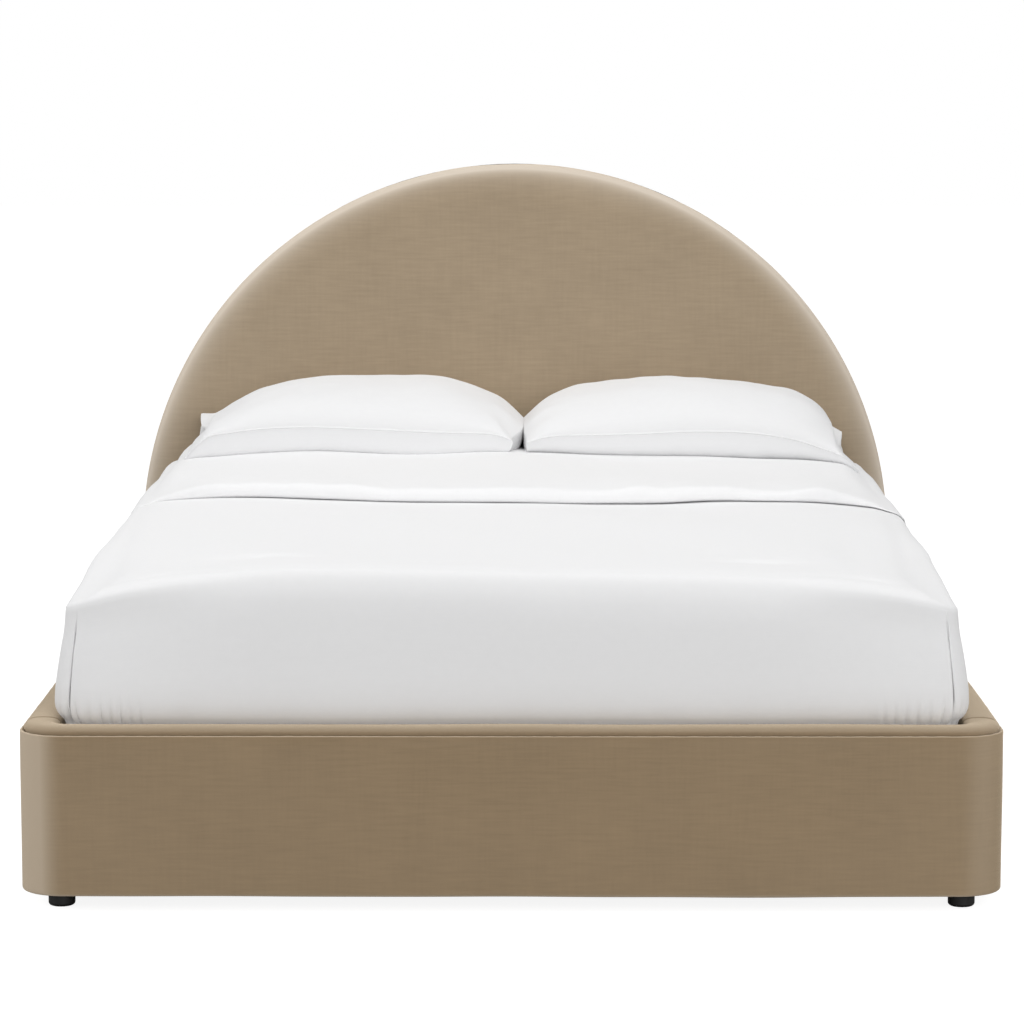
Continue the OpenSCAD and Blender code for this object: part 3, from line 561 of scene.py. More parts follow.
def velvet(name, red, green, blue, painted_sheen_amount, light_side=(0, 0, 0), sheen_colour=(1.0, 0.955, 0.87)):
    """Velvet of one tone. Where the surface turns away from the eye, a painted sheen of a lighter
    colour is mixed in. Faces turned towards one given side get more of it: that is painted light
    from the lamps on that side."""
    tone = np.array(linear(red, green, blue))
    made = two_tone(name, nap_group, around(tone, 0.13), velvet_values, (0.35, 0.0006), vector="UV")
    tree = made.node_tree
    shader = tree.nodes["Principled BSDF"]
    plain = shader.inputs["Base Color"].links[0].from_socket
    # Painted sheen: its share grows as the surface turns away from the eye.
    turned = add_node(tree, "LayerWeight", {"Blend": 0.9}).outputs["Facing"]
    normal = add_node(tree, "TexCoord").outputs["Normal"]
    # Painted light: faces turned towards the given side get more of the painted sheen, and faces turned
    # away get less or none.
    facing_light = add_node(tree, "VectorMath", {0: normal, 1: light_side}, operation="DOT_PRODUCT")
    turned = times(tree, turned, plus(tree, facing_light.outputs["Value"], 1.0))
    painted_sheen_colour = (*(tone + painted_sheen_amount * np.array(sheen_colour)), 1)
    mixed = add_node(tree, "Mix", {0: turned, 6: plain, 7: painted_sheen_colour}, data_type="RGBA")
    tree.links.new(mixed.outputs[2], shader.inputs["Base Color"])
    return made


# Painted light: the face strips get more painted sheen on sides turned to the left, where the left lamps
# shine, and the headboard more on faces turned up to the overhead lamp.
velvet_face = velvet("velvet_face", 146, 125, 97, 0.22, (-1, 0, 0))
velvet_top = velvet("velvet_top", 143, 124, 99, 0.05)
velvet_head = velvet("velvet_head", 158, 141, 118, 0.29, (0, 0, 2.0), (1.0, 0.99, 0.97))
velvet_border = velvet("velvet_border", 134, 118, 98, 0.25, sheen_colour=(1.0, 0.99, 0.97))
print("velvets", [velvet_face.name, velvet_top.name, velvet_head.name, velvet_border.name])

# %% [markdown]
# White cotton is not pure white: a tone just under it leaves room for the light to draw folds.
# All woven cloth shares one group and differs in tone and thread count. Foam and moulded plastic
# borrow the weave as a fine grain, which is all that the eye gets of their texture.

# %% Materials: bedding and padding
cotton_values = shine(0.9, 0.2, Sheen_Weight=0.12, Sheen_Roughness=0.5)


def woven(name, tone, spread, threads, values=cotton_values, bump=(0.10, 0.0004), **more):
    """Woven cloth of one tone with its thread count per metre. more goes to two_tone."""
    more = {"vector": "UV", "group_inputs": {"Threads": threads}, **more}
    return two_tone(name, weave_group, around(tone, spread), values, bump, **more)


cotton = woven("white_cotton", (0.84, 0.84, 0.845), 0.012, 1100.0)
case_cotton = woven("pillowcase_cotton", (0.785, 0.785, 0.79), 0.012, 1100.0)
sheet_cotton = woven("sheet_cotton", (0.82, 0.82, 0.825), 0.012, 1100.0)
ticking = woven("pillow_ticking", (0.78, 0.77, 0.74), 0.03, 800.0)
mattress_knit = woven("mattress_knit", (0.74, 0.735, 0.72), 0.05, 420.0, bump=(0.5, 0.0004))
foam_cells = woven(
    "foam_cells", (0.80, 0.68, 0.36), 0.08, 350.0, shine(0.95, 0.1), (0.6, 0.0008), vector="Object",
)
backing = woven(
    "back_cloth", (0.022, 0.021, 0.020), 0.25, 500.0, shine(0.92, 0.2), (0.5, 0.0005), vector="Object",
    mapping={"Rotation": (math.radians(90), 0, 0)},
)
webbing = woven(
    "strap_webbing", (0.03, 0.029, 0.028), 0.3, 400.0, shine(0.85, 0.25), (0.8, 0.0008), vector="Object",
)
print("cottons", [cotton.name, case_cotton.name, sheet_cotton.name])

# %% [markdown]
# Pine is sawn along its grain, so there is one pine for each direction that a board can lie in.
# Plywood has closer, paler bands. Zinc plating has a faint pattern of its own, for which the
# grain group serves at another scale.

# %% Materials: timber, steel and plastic
timber_values = shine(0.62, 0.35)
pine_tones = [(0.48, 0.30, 0.14), (0.72, 0.52, 0.30)]
ply_tones = [(0.36, 0.23, 0.11), (0.58, 0.41, 0.23)]
turns = {"x": (0, 0, 0), "y": (0, 0, math.radians(90)), "z": (0, math.radians(90), 0)}
pine = {
    axis: two_tone(
        "pine_along_" + axis, grain_group, pine_tones, timber_values, (0.3, 0.0006),
        mapping={"Rotation": turn},
    )
    for axis, turn in turns.items()
}
plywood = two_tone(
    "birch_ply", grain_group, ply_tones, timber_values, (0.25, 0.0005), group_inputs={"Rings": 60.0},
)
zinc = two_tone(
    "zinc_plate", grain_group, [(0.36, 0.37, 0.39), (0.52, 0.53, 0.55)],
    {"Metallic": 1.0, "Roughness": 0.42}, (0.12, 0.0002), mapping={"Scale": (3.0, 3.0, 3.0)},
)
foot_plastic = woven(
    "foot_plastic", (0.012, 0.0115, 0.011), 0.3, 700.0, shine(0.5, 0.45), (0.25, 0.0003), vector="Object",
)
print("pine along", sorted(pine), "with", plywood.name, zinc.name, foot_plastic.name)

# %% [markdown]
# The hard pieces keep their construction meshes and only need the right material. Grain runs
# along each board, so the direction depends on how the board lies in the bed.

# %% Finish the hard pieces


def finish_nodes(material, *names):
    """Gives construction nodes a material. Their meshes are left alone."""
    for name in names:
        nodes[name].data.materials.clear()
        nodes[name].data.materials.append(material)


slats = [name for name in nodes if name.startswith("slat_") and name[5:].isdigit()]
finish_nodes(pine["x"], *slats, "footboard_board", "headboard_middle_rail", "headboard_bottom_rail")
finish_nodes(
    pine["y"], "side_board_left", "side_board_right", "slat_ledge_left", "slat_ledge_right", "centre_beam",
)
finish_nodes(
    pine["z"], "headboard_post_left", "headboard_post_right", "headboard_centre_stud", "centre_legs",
    "corner_blocks",
)
finish_nodes(
    plywood, "headboard_panel", "headboard_arch", "footboard_corner_left", "footboard_corner_right",
)
finish_nodes(zinc, "beam_hangers", "foot_studs", "frame_bolts", "frame_screws")
finish_nodes(foot_plastic, "feet", "leg_glides")
finish_nodes(backing, "headboard_back_cloth")
finish_nodes(webbing, "slat_straps")
print(len(slats), "slats")

# %% [markdown]
# The rails' velvet is two strips of cloth sewn together along the outer top edge. The seam is
# the line that draws the bed's outline, so it is real geometry: the face strip rolls over the
# edge into a narrow groove, and the top strip rises out of it over the padding.

# %% Profiles of the rail covers
groove_x = rail_thick - 0.0086
groove_deep = 0.0045
lip_r = 0.0024
pad_front = rail_thick - 0.0064
pad_middle_z = seam_z + 0.0035
pad_rise = 0.0100

face_profile = joined(
    line((rail_thick / 2, rail_low_z), (rail_thick - edge_r, rail_low_z), 6),
    bend((rail_thick - edge_r, rail_low_z + edge_r), edge_r, -90, 0, 9),
    line((rail_thick, rail_low_z + edge_r), (rail_thick, seam_z - 0.012), 40),
    bend((rail_thick + 0.0003 - lip_r, seam_z - lip_r + 0.0006), lip_r, 0, 150, 14),
    [(groove_x + 0.0010, seam_z - 0.0024), (groove_x, seam_z - groove_deep)],
)


def pad_line(count):
    """The padded top: a superellipse of power 2.4 (cosine and sine to the power of 2 / 2.4). It
    starts under its own front bulge, which overhangs the seam, and ends at the inner edge."""
    turn = np.radians(np.linspace(-26, 180, count))
    across, up = (np.sign(k) * np.abs(k) ** (2 / 2.4) for k in (np.cos(turn), np.sin(turn)))
    return np.stack([pad_front / 2 * (1 + across), pad_middle_z + pad_rise * up], -1)


top_profile = joined(
    [(groove_x - 0.0002, seam_z - groove_deep), (groove_x - 0.0004, seam_z - 0.0022)],
    pad_line(44),
    line((0, pad_middle_z - 0.004), (0, rail_low_z + edge_r), 24),
    bend((edge_r, rail_low_z + edge_r), edge_r, 180, 270, 7),
    line((edge_r, rail_low_z), (rail_thick / 2, rail_low_z), 5),
)
for strip, profile in (("face strip", face_profile), ("top strip", top_profile)):
    print(strip, "is cut", round(lengths(profile)[-1], 3), "m wide")

# %% [markdown]
# Upholstery is never quite flat. The foam under the velvet gives waves of about half a
# millimetre, cloth pulls in beside a seam, and where two covers meet they roll into the joint.

# %% Footboard and side covers
corner_cx = well_half - corner_inner_r
corner_cy = well_foot_y + corner_inner_r
rail_outer_r = corner_inner_r + rail_thick
joint_gap = 0.0006
joint_roll = 0.0035
pucker_run, pucker_deep = 0.011, 0.00022
pad_top_column = 24


def rail_cover(name, path, s, profile, finish, seed, rolled_ends, node):
    """A velvet strip: the profile carried along the path, with unevenness, small puckers
    beside the seam, and ends that roll in by a bell of the distance to the joint."""
    outer = carried(path, s, profile, corner_inner_r)
    inner = carried(path, s, offset_left(profile, cover_thick), corner_inner_r)
    run, rise = np.meshgrid(s, lengths(profile), indexing="ij")
    to_seam = np.linalg.norm(profile - [groove_x, seam_z], axis=1)[None, :]
    puckers = np.sin(run * 2 * math.pi / pucker_run + 3 * unevenness(run, rise, 0.12, seed + 1))
    push = 0.0005 * unevenness(run, rise, 0.22, seed) * ease(to_seam / 0.02)
    push += pucker_deep * puckers * bell((to_seam - 0.006) / 0.006)
    for end in rolled_ends:
        push = push - joint_roll * bell((run - end * path.length) / 0.0035)
    if finish is velvet_top:
        outward = looking_up(outer, pad_top_column)
    else:
        outward = normals_of(outer)
        on_face = len(profile) // 3
        if (outward[:, on_face, :2] * outer[:, on_face, :2]).sum(1).mean() < 0:
            outward = -outward
    points, faces = shell(outer + outward * push[..., None], inner)
    piece = make_piece(name, points, faces, finish, cloth_map(s, lengths(profile)))
    place(piece, "frame", "velvet", node)


def side_path(sign, foot_end, head_end):
    """The straight path of a side rail, or of a stretch of it."""
    facing = 180 if sign < 0 else 0
    return PlanPath([(sign * corner_cx, y, facing) for y in (foot_end, head_end)], rail_outer_r)


def cover_rail(rail, side, path, step, seeds, rolled_ends):
    """Both velvet strips of one rail, with rows close together where the ends roll in."""
    s = spaced(path.length, step, [(0, 0.012, 0.0012)])
    face = ("face", "cover", face_profile, velvet_face)
    top = ("top", "top_cover", top_profile, velvet_top)
    for (strip, node, profile, finish), seed in zip((face, top), seeds):
        name = f"{rail}_velvet_{strip}{side}"
        rail_cover(name, path, s, profile, finish, seed, rolled_ends, f"{rail}_{node}{side}")


foot_path = PlanPath(u_waypoints(corner_cx, corner_cy, return_end_y - joint_gap), rail_outer_r)
cover_rail("footboard", "", foot_path, 0.008, (11, 12), rolled_ends=(0, 1))
for side, sign, seeds in (("_left", -1, (21, 26)), ("_right", 1, (31, 36))):
    along_side = side_path(sign, return_end_y + joint_gap, head_front_y)
    cover_rail("side", side, along_side, 0.012, seeds, rolled_ends=(0,))

# %% [markdown]
# Under the velvet, foam wraps over the top of each board. It never shows on a finished bed, but
# it is what gives the rail its softness, so it is there as its own piece. At the head end a
# scrap of velvet is turned over the foam, because the headboard's rounded edge leaves it in view.

# %% Rail foam
foam_outline = joined(
    line((cover_thick, board_low_z), (cover_thick, seam_z - edge_r), 14),
    bend((edge_r + cover_thick, seam_z - edge_r), edge_r, 180, 100, 5),
    line((edge_r + 0.006, seam_z + 0.002), (rail_thick - 0.016, seam_z + 0.001), 8),
    bend((rail_thick - 0.012, seam_z - 0.014), 0.0085, 80, 0, 5),
    line((rail_thick - cover_thick, seam_z - 0.016), (rail_thick - cover_thick, board_low_z), 14),
)
foam_run = lengths(foam_outline)
board_in, board_out = board_low.x - well_half, board_high.x - well_half
at_corners = np.array([0, 0.44, 0.56, 1]) * foam_run[-1]
foam_inside = np.stack([
    np.interp(foam_run, at_corners, [board_in, board_in, board_out, board_out]),
    np.interp(foam_run, at_corners, [board_low_z, board_high.z, board_high.z, board_low_z]),
], -1)


def sleeve(path, s):
    """Points and faces of a wall between the cover and the board, open below."""
    return shell(*(carried(path, s, outline, corner_inner_r) for outline in (foam_outline, foam_inside)))


def rail_foam(name, path, node):
    """The foam over one board."""
    piece = make_piece(name, *sleeve(path, spaced(path.length, 0.03)), foam_cells)
    place(piece, "frame", "foam", node)


rail_foam("footboard_padding", foot_path, "footboard_foam")
foam_end_y = head_front_y - cover_thick
for side, sign in (("left", -1), ("right", 1)):
    foam_path = side_path(sign, return_end_y + joint_gap, foam_end_y)
    rail_foam(f"side_padding_{side}", foam_path, f"side_foam_{side}")
    end_path = side_path(sign, foam_end_y, head_front_y)
    end_s = np.array([0.0, end_path.length])
    end_uv = cloth_map(end_s, foam_run)
    piece = make_piece(f"side_velvet_end_{side}", *sleeve(end_path, end_s), velvet_face, end_uv)
    place(piece, "frame", "velvet")

# %% [markdown]
# The headboard's outline is a half circle on straight sides. Its front is one piece of velvet
# pulled over a foam slab: nearly flat, softly crowned, and rolled round a generous rim. Rings
# that follow the outline are the natural grid for it, closing on a point in the middle.

# %% Headboard outline
foot_corner_r = 0.006


def head_outline(step):
    """Points of the outline and its inward normals: up the right side, round the half circle,
    down the left side and along the bottom, with small bottom corners."""
    r, x, low = foot_corner_r, outer_half, rail_low_z
    upright = round((arch_centre_z - low) / step)
    points = joined(
        line((x, low + r), (x, arch_centre_z), upright),
        bend((0, arch_centre_z), x, 0, 180, round(math.pi * x / step)),
        line((-x, arch_centre_z), (-x, low + r), upright),
        bend((r - x, low + r), r, 180, 270, 5),
        line((r - x, low), (x - r, low), round(x / step)),
        bend((x - r, low + r), r, 270, 360, 5),
    )[:-1]
    step_along = np.roll(points, -1, axis=0) - np.roll(points, 1, axis=0)
    step_along /= np.linalg.norm(step_along, axis=1, keepdims=True)
    return points, np.stack([-step_along[:, 1], step_along[:, 0]], -1)


outline, inward = head_outline(0.011)
local_rim = 0.004 + (rim_r - 0.004) * ease((outline[:, 1] - rail_low_z - 0.005) / 0.10)
print("outline", len(outline), "points,", round(lengths(outline)[-1], 3), "m round")


def head_ring(inset, depth):
    """One ring of the headboard: the outline moved inwards, at a depth along the bed."""
    flat = outline + inward * np.broadcast_to(inset, local_rim.shape)[:, None]
    return np.stack([flat[:, 0], np.broadcast_to(depth, local_rim.shape), flat[:, 1]], -1)


# %% [markdown]
# The front cover is one cloth. Its rows grow from the middle to the rim and then roll back to the
# seam, so that rows and columns both follow the way the velvet is pulled when it is stapled.

# %% Headboard front cover
rim_seam_y = head_front_y + rim_r + edge_r
front_centre = np.array([0.0, head_front_y, arch_centre_z + 0.06])
head_crown, foam_wave, ripple_deep = 0.0035, 0.0011, 0.0012
rim_wide = 3.0
share = np.concatenate([np.linspace(0, 0.9, 34), np.linspace(0.92, 0.99, 6)])


def head_rows(extra_inset, y_front):
    """Rows from the centre of the front out to the rim and back to the border's seam. Flat
    rows lie at a share of the way out; rim rows follow a quarter ellipse, wider than it is
    deep, by an angle from 0 to 90 degrees."""
    edge = head_ring(local_rim * rim_wide + extra_inset, y_front)
    centre = np.array([front_centre[0], y_front, front_centre[2]])
    rows = [centre + (edge - centre) * k for k in share]
    for angle in np.radians(np.linspace(0, 90, 19)):
        inset = local_rim * rim_wide * (1 - math.sin(angle)) + extra_inset
        rows.append(head_ring(inset, y_front + local_rim * (1 - math.cos(angle))))
    rows.append(head_ring(extra_inset, rim_seam_y - 0.0016))
    rows.append(head_ring(extra_inset + 0.0012, rim_seam_y - 0.0005))
    return np.array(rows)


def crowned(rows):
    """Brings the front forward by a crown that fades towards the rim, adds the foam's
    unevenness, and the shallow ripple that runs round the rim where the velvet is pulled."""
    x, z = rows[..., 0], rows[..., 2]
    radius = np.hypot(x, np.maximum(z - arch_centre_z, 0))
    fade = 1 - ease((radius / outer_half - 0.75) / 0.25)
    waves = foam_wave * unevenness(x, z, 0.34, 41) * ease((outer_half - radius) / 0.12)
    forward = head_crown * fade + waves
    at_rim = bell((radius - outer_half + 0.085) / 0.03)
    ripple = ripple_deep * at_rim * (0.5 + 0.5 * unevenness(x, z, 0.45, 42))
    on_front = np.clip(1 - (rows[..., 1] - head_front_y) / rim_r, 0, 1)
    moved = rows.copy()
    moved[..., 1] -= (forward - ripple) * on_front
    return moved


head_outer = crowned(head_rows(0.0, head_front_y)).transpose(1, 0, 2)
head_inner = head_rows(cover_thick, head_front_y + cover_thick).transpose(1, 0, 2)
head_inner[..., 1] = np.minimum(head_inner[..., 1], rim_seam_y - 0.0005)
points, faces = shell(head_outer, head_inner, ring=True)
piece = make_piece("headboard_velvet_front", points, faces, velvet_head, head_outer[..., [0, 2]])
place(piece, "frame", "velvet", "headboard_cover")

# %% [markdown]
# Behind the rim a separate band of velvet runs round the edge to the back cloth. It is sewn to
# the front and stapled behind, so both its edges pull in a little.

# %% Headboard border band
across = np.linspace(0, 1, 14)
border_depth = rim_seam_y + 0.0003 + (cloth_y - rim_seam_y - 0.0006) * across
tucked = 0.0014 * (bell(across / 0.05) + bell((1 - across) / 0.05))
border_outer = np.array([head_ring(inset, y) for inset, y in zip(tucked, border_depth)])
border_x, border_z = border_outer[..., 0], border_outer[..., 2]
border_outer += 0.0004 * unevenness(border_x * 2, border_z * 2, 0.3, 43)[..., None]
border_inner = np.array([head_ring(cover_thick, y) for y in border_depth])
points, faces = shell(border_outer.transpose(1, 0, 2), border_inner.transpose(1, 0, 2), ring=True)
border_uv = cloth_map(lengths(outline), border_depth)
piece = make_piece("headboard_velvet_border", points, faces, velvet_border, border_uv)
place(piece, "frame", "velvet", "headboard_border")

# %% [markdown]
# The foam slab under the cover is a closed body: its front follows the cover's underside, and
# its back is flat, glued to the plywood panel. Every other row of the cover is fine enough.

# %% Headboard foam
foam_front = head_rows(cover_thick, head_front_y + cover_thick)[::2]
foam_front[..., 1] = np.minimum(foam_front[..., 1], panel_y)
back_middle = np.array([0.0, panel_y, front_centre[2]])
back_edge = head_ring(cover_thick, panel_y)
foam_back = [back_middle + (back_edge - back_middle) * k for k in (1, 0.66, 0.33, 0)]
foam_rows = np.concatenate([foam_front, foam_back]).transpose(1, 0, 2)
piece = make_piece("headboard_padding", *tube(foam_rows), foam_cells)
place(piece, "frame", "foam", "headboard_foam")

# %% [markdown]
# The mattress: a knitted cover quilted in rows, a taped edge at top and bottom, and a border
# between them that is stitched in two lines. It rests on the slats, inside the fitted sheet.

# %% Mattress
mattress_half = mattress_high.x
mattress_r = 0.060
mattress_loop = loop_waypoints(
    mattress_half - mattress_r, mattress_low.y + mattress_r, mattress_high.y - mattress_r,
)
mattress_path = PlanPath(mattress_loop, mattress_r)
mattress_s = spaced(mattress_path.length, 0.02)[:-1]
tape_h = 0.014
lozenge, quilt_deep = 0.16, 0.0025


def to_middle(edge, y, shares):
    """Rows of plan points at shares of the straight way from the bed's middle line, left at y,
    out to the edge points."""
    spine = np.stack([np.zeros(len(y)), y], -1)
    return spine[:, None, :] + (edge - spine)[:, None, :] * shares[None, :, None]


spine_ends = (mattress_low.y + mattress_half * 0.6, mattress_high.y - mattress_half * 0.6)


def towards_spine(s, from_out, z, shares):
    """Level rows from the mattress's edge to the nearest points of a line along its middle."""
    base, facing = mattress_path(s)
    edge = base + facing * (mattress_r + from_out)
    return raised(to_middle(edge, np.clip(edge[:, 1], *spine_ends), shares), z)


side_profile = joined(
    bend((-0.006, mattress_low.z + 0.006), 0.006, -90, 0, 4),
    bend((-0.003, mattress_low.z + tape_h), 0.003, 20, 90, 3),
    line((-0.006, mattress_low.z + tape_h + 0.004), (-0.006, mattress_high.z - tape_h - 0.004), 30),
    bend((-0.003, mattress_high.z - tape_h), 0.003, -90, -20, 3),
    bend((-0.006, mattress_high.z - 0.006), 0.006, 0, 90, 4),
)
level = (side_profile[:, 1] - mattress_low.z) / (mattress_high.z - mattress_low.z)
stitched = 0.0015 * (bell((level - 0.36) / 0.02) + bell((level - 0.64) / 0.02))
side_profile[:, 0] -= stitched
side_grid = carried(mattress_path, mattress_s, side_profile, mattress_r)
shares_in = np.linspace(0.985, 0, 44)
top_grid = towards_spine(mattress_s, -0.006, mattress_high.z, shares_in)
bottom_grid = towards_spine(mattress_s, -0.006, mattress_low.z, shares_in[::-1])


def quilted(grid, sign):
    """Lozenge quilting: the product of two crossed sines, pressed into the face."""
    x, y = grid[..., 0], grid[..., 1]
    pressed = np.abs(np.sin((x + y) * math.pi / lozenge) * np.sin((x - y) * math.pi / lozenge)) ** 0.4
    edge = np.minimum(mattress_half - np.abs(x), np.minimum(y - mattress_low.y, mattress_high.y - y))
    grid[..., 2] -= sign * quilt_deep * (1 - pressed) * ease(edge / 0.05) * (np.abs(x) > 1e-6)
    return grid


mattress_grid = np.concatenate([quilted(bottom_grid, -1), side_grid, quilted(top_grid, 1)], axis=1)
mattress_uv = cloth_map(mattress_s, np.linspace(0, 1.8, mattress_grid.shape[1]))
piece = make_piece("mattress_body", *tube(mattress_grid), mattress_knit, mattress_uv)
place(piece, "mattress", "mattress_fabric", "mattress")

# %% [markdown]
# The fitted sheet: one cloth stretched over the top and sides, gathered by elastic round its
# hem. Its flat size is the top plus, at each side, the mattress's height and a turn-under.

# %% Fitted sheet
sheet_out = sheet_high.x - mattress_half
sheet_thick = 0.0009
gather_run, gather_deep = 0.021, 0.0016
sheet_s = spaced(mattress_path.length, 0.014)[:-1]
sheet_side = joined(
    line((sheet_out - 0.001, sheet_low.z + 0.002), (sheet_out, sheet_low.z + 0.03), 5),
    line((sheet_out, sheet_low.z + 0.03), (sheet_out, sheet_high.z - 0.008), 26),
    bend((sheet_out - 0.008, sheet_high.z - 0.008), 0.008, 0, 90, 6),
)


def sheet_skin(inset):
    """One skin of the sheet: side, rounded edge and top, gathered towards the hem."""
    side = carried(mattress_path, sheet_s, sheet_side - [inset, inset], mattress_r)
    shares = np.linspace(0.985, 0, 40)
    top = towards_spine(sheet_s, sheet_out - 0.008 - inset, sheet_high.z - inset, shares)
    _, facing = mattress_path(sheet_s)
    low = ease((sheet_low.z + 0.075 - side[..., 2]) / 0.075)
    corner = bell((np.abs(np.abs(facing[:, 0]) - np.abs(facing[:, 1]))) / 0.5)[:, None]
    gathers = np.abs(np.sin(sheet_s * math.pi / gather_run + 2 * np.sin(sheet_s * 9)))[:, None]
    draw = gather_deep * gathers * low * (0.35 + 0.65 * corner)
    side[..., :2] -= facing[:, None, :] * draw[..., None]
    return np.concatenate([side, top], axis=1)


sheet_outer = sheet_skin(0.0)
points, faces = shell(sheet_outer, sheet_skin(sheet_thick), ring=True, meets=True)
sheet_uv = cloth_map(sheet_s, np.linspace(0, 1.1, sheet_outer.shape[1]))
piece = make_piece("fitted_sheet_cloth", points, faces, sheet_cotton, sheet_uv)
place(piece, "mattress", "cotton", "fitted_sheet")

# %% [markdown]
# The duvet. It lies over the mattress, is tucked down inside the rails and swells out above
# them. Seen from above its grid runs round the left side, the foot end and the right side. Seen
# from the side, each station has a few points from the hem up over the shoulder to the middle
# of the bed, and a smooth curve runs through them. A cloth simulation with pressure could make
# such a form too. Here each height and fold is read from the photo instead, so the surface is
# worked out, and it is the same on every run.

# %% Duvet: its main form
# It clears the sheet by a hair. The foot corners drop and lean, the hem is tucked in beside the
# mattress, the sides are plumper than the foot, and the head end rolls down.
duvet_clear = 0.0004
duvet_in = sheet_out + duvet_clear
duvet_half = mattress_half + duvet_in
duvet_r = mattress_r + duvet_in
duvet_foot_y = mattress_low.y - duvet_in
duvet_head_y = duvet_high.y
duvet_under_z = sheet_high.z + duvet_clear
duvet_edge_z = sheet_high.z + 0.042
duvet_crown, foot_crown = 0.032, 0.028
corner_drop, foot_lean, drop_run = 0.026, 0.006, 0.620
left_lift = 0.018
hem_z = duvet_low.z
tuck = 0.009
plump = 0.003
head_roll_run, head_roll_drop = 0.060, 0.042
duvet_cx = duvet_half - duvet_r
duvet_cy = duvet_foot_y + duvet_r
duvet_spine_y = duvet_foot_y + duvet_half / 2
duvet_path = PlanPath(u_waypoints(duvet_cx, duvet_cy, duvet_head_y), duvet_r)
print("round the duvet", round(duvet_path.length, 3), "m")


def duvet_top(x, y, rolled=True):
    """Height of the duvet's top: a crown across the bed, flatter towards the foot end, whose
    corners sink; the left side is plumper, and the head end is rolled down."""
    across = np.clip(np.abs(x) / duvet_half, 0, 1.1)
    before_pillows = 1 - ease((y - 0.05) / 0.45)
    towards_foot = 1 - ease((y - duvet_foot_y) / drop_run)
    head_crown_z = duvet_crown * (1 - across**2) * (1 - before_pillows)
    crown = head_crown_z + foot_crown * (1 - across**4) * before_pillows
    sunk = (corner_drop * across**8 + foot_lean * np.sin(x * math.pi / 0.82)) * towards_foot
    left = left_lift * ease((-x - 0.15) / 0.45) * (1 - ease((-x - 0.70) / 0.05)) * (1 - before_pillows)
    roll = head_roll_drop * np.clip(1 - (duvet_head_y - y) / head_roll_run, 0, 1) ** 2 * rolled
    return duvet_edge_z + crown + left - sunk - roll


# %% [markdown]
# The duvet bulges over the rail, because the filling is free there, and is pressed flat where
# the mattress is right behind it. A table says how far out it is at each height, read from the
# photo's outline, and a few rings lead from the top's edge in to the middle of the bed.

# %% Duvet: guiding points
# Share of the height between rail and duvet edge, and how far out, from the rail's top up
shoulder = [
    (0.0, 0.0048), (0.0095, 0.0070), (0.022, 0.0101), (0.045, 0.0145), (0.08, 0.0185),
    (0.13, 0.0212), (0.22, 0.0226), (0.38, 0.0220), (0.58, 0.0205), (0.74, 0.0178), (0.85, 0.0120),
    (0.925, 0.0030), (0.97, -0.0080),
]
# Rings of the top, inside one another: inset from the edge, corner radius, depth under the crown
top_rings = [(0.024, 0.042, 0.0038), (0.044, 0.060, 0.0010), (0.078, 0.096, 0.0), (0.130, 0.150, 0.0)]
top_shares = np.array([0.94, 0.8, 0.62, 0.42, 0.2, 0])
corner_run = 0.55
# How far the foot corners lean in at each share of the height. It fades along both sides, and
# stays clear of the mattress, whose top edge lies at a share of about 0.9.
corner_lean = [
    (0.13, 0), (0.22, 0.0010), (0.38, 0.0045), (0.58, 0.0100), (0.74, 0.0135), (0.85, 0.0100),
    (0.925, 0.0040), (0.97, 0.024), (1.0, 0.040),
]


def duvet_height(z):
    """Share of the height between the rails' top and the duvet's edge."""
    return (z - rail_top_z) / (duvet_edge_z - rail_top_z)


def duvet_net(s):
    """Rows of guiding points at each station: hem, shoulder, top edge and top."""
    base, facing = duvet_path(s)
    edge = base + facing * duvet_r
    edge_top = duvet_top(edge[:, 0], edge[:, 1])
    sideways = np.abs(facing[:, 0])
    fuller = plump * sideways * ease((base[:, 1] - duvet_foot_y) / drop_run)
    along_side = np.maximum(np.maximum(duvet_path.at[1] - s, s - duvet_path.at[4]), 0)
    along_foot = np.maximum(np.minimum(s - duvet_path.at[2], duvet_path.at[3] - s), 0)
    cornered = (1 - ease(along_side / 1.10)) * (1 - ease(along_foot / 0.30))

    def at(out, z):
        return raised(edge + facing * np.broadcast_to(out, edge_top.shape)[:, None], z)

    def on_top(flat, lower=0.0):
        return raised(flat, duvet_top(flat[:, 0], flat[:, 1]) - lower)

    def ring(inset, radius):
        inset = inset + corner_lean[-1][1] * cornered
        cx, cy = duvet_half - inset - radius, duvet_foot_y + inset + radius
        moved_y = base[:, 1] + (cy - duvet_cy) * (1 - ease((base[:, 1] - duvet_cy) / corner_run))
        return np.stack([base[:, 0] * cx / duvet_cx, moved_y], -1) + facing * radius

    rows = [at(tuck * 0.8, hem_z), at(tuck, hem_z + 0.040), at(tuck * 0.4, rail_top_z - 0.005)]
    for share_up, out in shoulder:
        out = out + fuller * min(1, 1.8 * share_up) - np.interp(share_up, *zip(*corner_lean)) * cornered
        rows.append(at(out, rail_top_z + (edge_top - rail_top_z) * share_up))
    for inset, radius, lower in top_rings:
        flat = ring(inset, radius)
        rows.append(on_top(flat, lower * (1 + cornered) + 0.004 * cornered))
    inner_rows = to_middle(flat, np.maximum(base[:, 1], duvet_spine_y), top_shares)
    return np.array(rows + [on_top(inner) for inner in inner_rows.transpose(1, 0, 2)])


# %% [markdown]
# Three things make it read as a duvet in a cover: the cover's corner is folded like a parcel,
# so that the foot panel's edge stands over the side panel with a dark slit between them; the
# cloth is gathered where it dives between mattress and rail; and the filling gives broad,
# shallow hollows.

